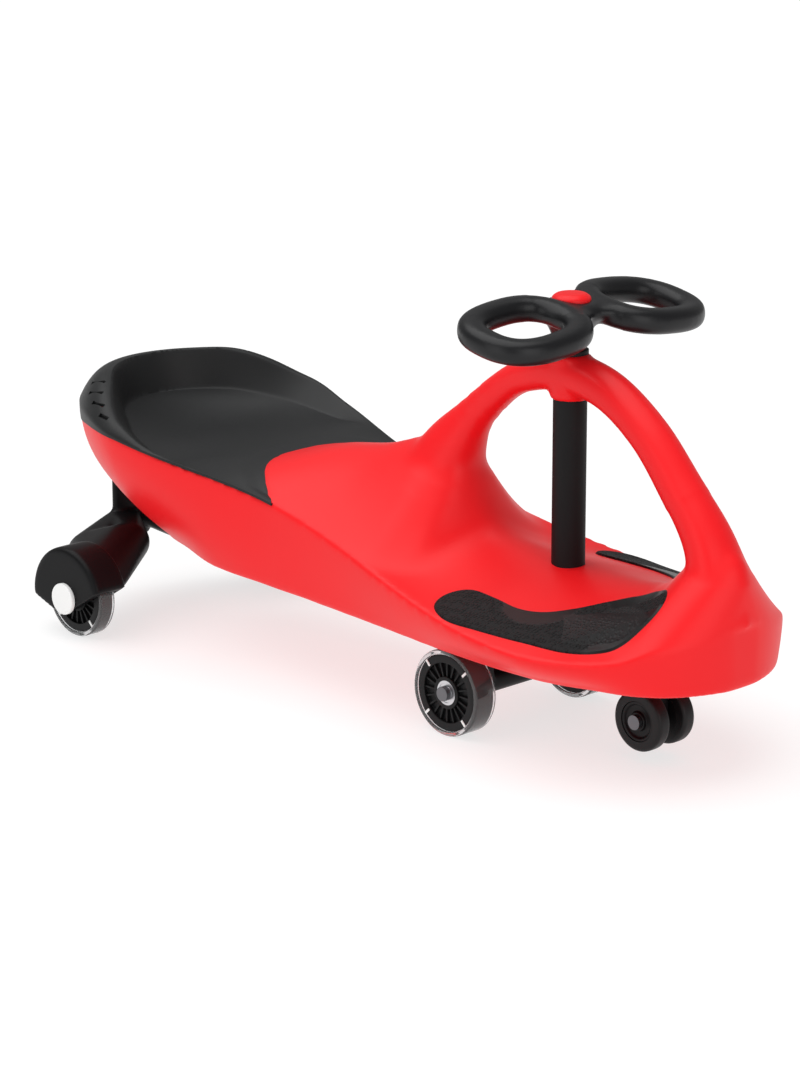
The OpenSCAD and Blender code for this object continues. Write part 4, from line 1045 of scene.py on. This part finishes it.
# %% Four road wheels
for end in ("front", "rear"):
    for side in ("left", "right"):
        low, high = reach(f"{end}_tyre_{side}")
        half = (high.y - low.y) / 2
        place = outward(*middle(f"{end}_tyre_{side}"))
        body = f"{end}_wheel_{side}"
        core = wheel_core(half, place)
        piece(f"{end}_rim_{side}", core, body, core_plastic, [f"{end}_core_{side}"])
        piece(f"{end}_lamps_{side}", lamp_slits(half, place), body, white_plastic)
        piece(f"{end}_cast_{side}", tyre(half, place), body, clear_cast, [f"{end}_tyre_{side}"])

# %% [markdown]
# The two small wheels ahead of the column never touch level ground: they keep the car from tipping over
# its nose. Each is a dished disc with a rubber band round it, and both are plain turned shapes.

# %% Safety wheels
SAFE_R, SAFE_CORE_R, SAFE_BORE_R, SAFE_EDGE = 27, 18, 4.1, 0.6
DISH_OUT, DISH_IN, DISH_HUB, DISH_LIP, DISH_DEEP = 15.5, 14, 8.8, 8.2, 3
for side in ("left", "right"):
    low, high = reach(f"safety_tyre_{side}")
    half = (high.y - low.y) / 2
    place = outward(*middle(f"safety_tyre_{side}"))
    body = f"safety_wheel_{side}"
    disc = bmesh.new()
    turned(disc, [
        (SAFE_BORE_R, -half, 0), (SAFE_CORE_R - 0.1, -half, 0.6), (SAFE_CORE_R - 0.1, half - SAFE_EDGE, 0.8),
        (DISH_OUT, half - SAFE_EDGE, 0.8), (DISH_IN, half - DISH_DEEP, 1), (DISH_HUB, half - DISH_DEEP, 0.8),
        (DISH_LIP, half, 0.8), (SAFE_BORE_R, half, 0), (SAFE_BORE_R, -half, 0),
    ], place)
    piece(f"safety_disc_{side}", disc, body, core_plastic, [f"safety_core_{side}"])
    band_ring = bmesh.new()
    turned(band_ring, [
        (SAFE_CORE_R, -half, 0), (SAFE_R, -half, 4), (SAFE_R, half, 4), (SAFE_CORE_R, half, 0),
        (SAFE_CORE_R, -half, 0),
    ], place, around=96)
    piece(f"safety_band_{side}", band_ring, body, tyre_rubber, [f"safety_tyre_{side}"])

# %% [markdown]
# ## Rear bracket
# One black moulding carries both rear wheels: an oval stem goes up into the body, a fat limb bulges out
# to each side, and a housing closes over the wheel. The limbs are hulls drawn tight round points, the
# housing is a turned drum that is cut off below. All of it is fused, and the wells for the wheels are
# carved out last, so their edges stay crisp.

# %% Bracket helpers
STEM_AT, STEM_LONG, STEM_WIDE = TAIL + 12, 10, 22
STEM_LOW, STEM_TOP, BEAM_Z, ROOT_H = 56, 158, 78, 12
INNER_BALL, OUTER_BALL, REAR_BALL = ((60, 42, 67), 19), ((63, 63, 62), 25), ((44, 79, 59), 22)
AXLE = middle("rear_tyre_left")
HOUSING_IN, HOUSING_OUT, HOUSING_R, HOUSING_BEND = 111.5, 148, 48.5, 5
HOUSING_EDGE, FACE_INSET, FACE_SINK = 2, 4, 2
WELL_IN, WELL_OUT, WELL_R = 116.5, 138.5, 41.5
OVAL_STEPS, FACE_STEPS, BRACKET_VOXEL, BRACKET_SMOOTH = 64, 72, 1.8, 5
HOUSING_CUTS = [((-12, -17), (-0.35, -1)), ((0, -15), (0, -1)), ((0, -15), (0.62, -1))]


def oval(z):
    """A level section of the stem."""
    turns = [2 * pi * i / OVAL_STEPS for i in range(OVAL_STEPS)]
    return [Vector((STEM_AT + STEM_LONG * cos(a), STEM_WIDE * sin(a), z)) for a in turns]


def ball(place, radius):
    """Points of a ball, its place counted from the tail."""
    round_thing = bmesh.new()
    spot = Matrix.Translation(Vector(place) + Vector((TAIL, 0, 0)))
    bmesh.ops.create_icosphere(round_thing, subdivisions=4, radius=radius, matrix=spot)
    points = [v.co.copy() for v in round_thing.verts]
    round_thing.free()
    return points


def wrapped(bm, places, hand):
    """A hull drawn tight round points on one side of the car."""
    points = [bm.verts.new((p.x, hand * p.y, p.z)) for p in places]
    left = bmesh.ops.convex_hull(bm, input=points)["geom_interior"]
    bmesh.ops.delete(bm, geom=[v for v in left if isinstance(v, bmesh.types.BMVert)], context="VERTS")


def housing_face(radius):
    """Outline of a housing just inside its inner face, with the same cuts below."""
    points = []
    for i in range(FACE_STEPS):
        a = 2 * pi * i / FACE_STEPS
        x, z = radius * cos(a), radius * sin(a)
        lows = [spot[1] - (x - spot[0]) * way[0] / way[1] for spot, way in HOUSING_CUTS]
        points.append(Vector((AXLE.x + x, HOUSING_IN + FACE_SINK, AXLE.z + max([z] + lows))))
    return points


def housing(hand):
    """The drum over a wheel, cut off below."""
    drum = bmesh.new()
    deep = HOUSING_OUT - HOUSING_IN
    turned(drum, [
        (0, 0, 0), (HOUSING_R, 0, HOUSING_EDGE), (HOUSING_R, deep, HOUSING_BEND), (0, deep, 0),
    ], outward(AXLE.x, hand * HOUSING_IN, AXLE.z), around=96)
    for (x, z), (a, b) in HOUSING_CUTS:
        every = drum.verts[:] + drum.edges[:] + drum.faces[:]
        bmesh.ops.bisect_plane(
            drum, geom=every, plane_co=(AXLE.x + x, 0, AXLE.z + z), plane_no=(a, 0, b), clear_outer=True,
        )
        bmesh.ops.holes_fill(drum, edges=[e for e in drum.edges if e.is_boundary])
    mesh = bpy.data.meshes.new("housing")
    drum.to_mesh(mesh)
    drum.free()
    return mesh


# %% [markdown]
# Stem, limbs and housings are laid into each other first. A limb runs from half the stem over three balls
# to its housing in several hulls, because one hull round all of them would fill the bends.

# %% Rear bracket
bracket = bmesh.new()
skin(bracket, [oval(STEM_LOW), oval(STEM_TOP)])
wells = bmesh.new()
for hand in (-1, 1):
    inner, outer, rear = (ball(*b) for b in (INNER_BALL, OUTER_BALL, REAR_BALL))
    root = [p for z in (BEAM_Z - ROOT_H / 2, BEAM_Z + ROOT_H / 2) for p in oval(z) if p.y > -1]
    wrapped(bracket, root + inner, hand)
    wrapped(bracket, inner + outer + rear + housing_face(HOUSING_R - FACE_INSET), hand)
    wrapped(bracket, root + rear, hand)
    drum_mesh = housing(hand)
    bracket.from_mesh(drum_mesh)
    bpy.data.meshes.remove(drum_mesh)
    bmesh.ops.create_cone(
        wells, cap_ends=True, segments=96, radius1=WELL_R, radius2=WELL_R, depth=WELL_OUT - WELL_IN,
        matrix=outward(AXLE.x, hand * (WELL_IN + WELL_OUT) / 2, AXLE.z),
    )
bracket = carve(fuse(bracket, BRACKET_VOXEL, [(BRACKET_SMOOTH, everywhere)]), wells)
piece("bracket", bracket, "chassis", arm_plastic, ["rear_bracket"], crease=50)

# %% [markdown]
# A white cap covers the end of each rear axle. It is pressed on, so it sits proud of the housing, with a
# soft edge.

# %% Hub caps
COVER_FLAT, COVER_RISE = 0.7, 0.2
for side in ("left", "right"):
    low, high = reach(f"rear_cap_{side}")
    half, radius = (high.y - low.y) / 2, (high.z - low.z) / 2
    cover = bmesh.new()
    turned(cover, [
        (0, -half, 0), (radius, -half, 0.3), (radius, half, 1.6), (radius * COVER_FLAT, half + COVER_RISE, 2),
        (0, half + COVER_RISE, 0),
    ], outward(*middle(f"rear_cap_{side}")))
    piece(f"hub_cap_{side}", cover, "chassis", white_plastic, [f"rear_cap_{side}"])

# %% [markdown]
# ## Swing arm
# Under the deck a flat arm turns with the column. It carries the front axle in a cross tube, and ahead of
# it a lug for the two safety wheels. Plate, hub, tubes and cheeks are laid into each other and fused, so
# their edges come out as soft as those of a moulding.

# %% Swing arm
ARM_TOP = reach("swing_arm")[1].z
FRONT_AXLE, SAFE_AXLE = middle("front_axle"), middle("safety_axle")
PLATE_TOP, PLATE_T, TUBE_END, TUBE_R, LUG_HALF = ARM_TOP - 1, 9, 61, 11, 6
ARM_HUB_R, ARM_HUB_DEEP, CHEEK_IN, CHEEK_HALF = 24, 11, 16, 6
ARM_VOXEL, ARM_SMOOTH = 1.5, 4
HALF_PLATE = [
    (FRONT_AXLE.x - 14, TUBE_END - 6), (FRONT_AXLE.x + 14, TUBE_END - 2), (COLUMN, 30), (COLUMN + 30, 17),
    (SAFE_AXLE.x + 10, 9),
]
PLATE = HALF_PLATE + [(x, -y) for x, y in reversed(HALF_PLATE)]


def block(bm, low, high):
    middle_of, size = (Vector(low) + Vector(high)) / 2, Vector(high) - Vector(low)
    bmesh.ops.create_cube(bm, size=1, matrix=Matrix.Translation(middle_of) @ Matrix.Diagonal((*size, 1)))


arm = bmesh.new()
skin(arm, [[(x, y, z) for x, y in PLATE] for z in (PLATE_TOP - PLATE_T, PLATE_TOP)])
hub_low = ARM_TOP - ARM_HUB_DEEP
disc = [(0, hub_low, 0), (ARM_HUB_R, hub_low, 1), (ARM_HUB_R, ARM_TOP, 1), (0, ARM_TOP, 0)]
turned(arm, disc, column_place)
for spot, half in ((FRONT_AXLE, TUBE_END), (SAFE_AXLE, LUG_HALF)):
    rod = [(0, -half, 0), (TUBE_R, -half, 1), (TUBE_R, half, 1), (0, half, 0)]
    turned(arm, rod, outward(spot.x, 0, spot.z))
plate_low = PLATE_TOP - PLATE_T + 1
for hand in (-1, 1):
    cheek = hand * (TUBE_END - CHEEK_IN)
    low = (FRONT_AXLE.x - TUBE_R, cheek - CHEEK_HALF, FRONT_AXLE.z)
    block(arm, low, (FRONT_AXLE.x + TUBE_R, cheek + CHEEK_HALF, plate_low))
block(arm, (SAFE_AXLE.x - TUBE_R, -LUG_HALF, SAFE_AXLE.z), (SAFE_AXLE.x + TUBE_R, LUG_HALF, plate_low))
arm = fuse(arm, ARM_VOXEL, [(ARM_SMOOTH, everywhere)])
piece("arm", arm, "steering", arm_plastic, ["swing_arm"], crease=50)

# %% [markdown]
# ## Nodes that stay
# Small turned and pressed pieces are already right in the frame. They keep their solids and get a finish.

# %% Finishes on the frame's own nodes
NODE_FINISHES = {
    "upper_bush": sleeve_plastic, "lower_bush": bush_plastic, "thrust_washer": bush_plastic,
}
STEEL_NODES = [
    "bracket_bolts", "rear_axles", "rear_spacers", "column_tube", "steering_bolt", "column_bolt",
    "front_axle", "front_spacers",
]
STEEL_NODES += [f"{end}_bearings_{side}" for end in ("front", "rear") for side in ("left", "right")]
DARK_STEEL_NODES = ["front_axle_screws", "safety_axle"]
NODE_FINISHES.update({name: steel for name in STEEL_NODES})
NODE_FINISHES.update({name: dark_steel for name in DARK_STEEL_NODES})
for name, finish in NODE_FINISHES.items():
    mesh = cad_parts[name].data
    mesh.materials.clear()
    mesh.materials.append(finish)
print("finished nodes", len(NODE_FINISHES))
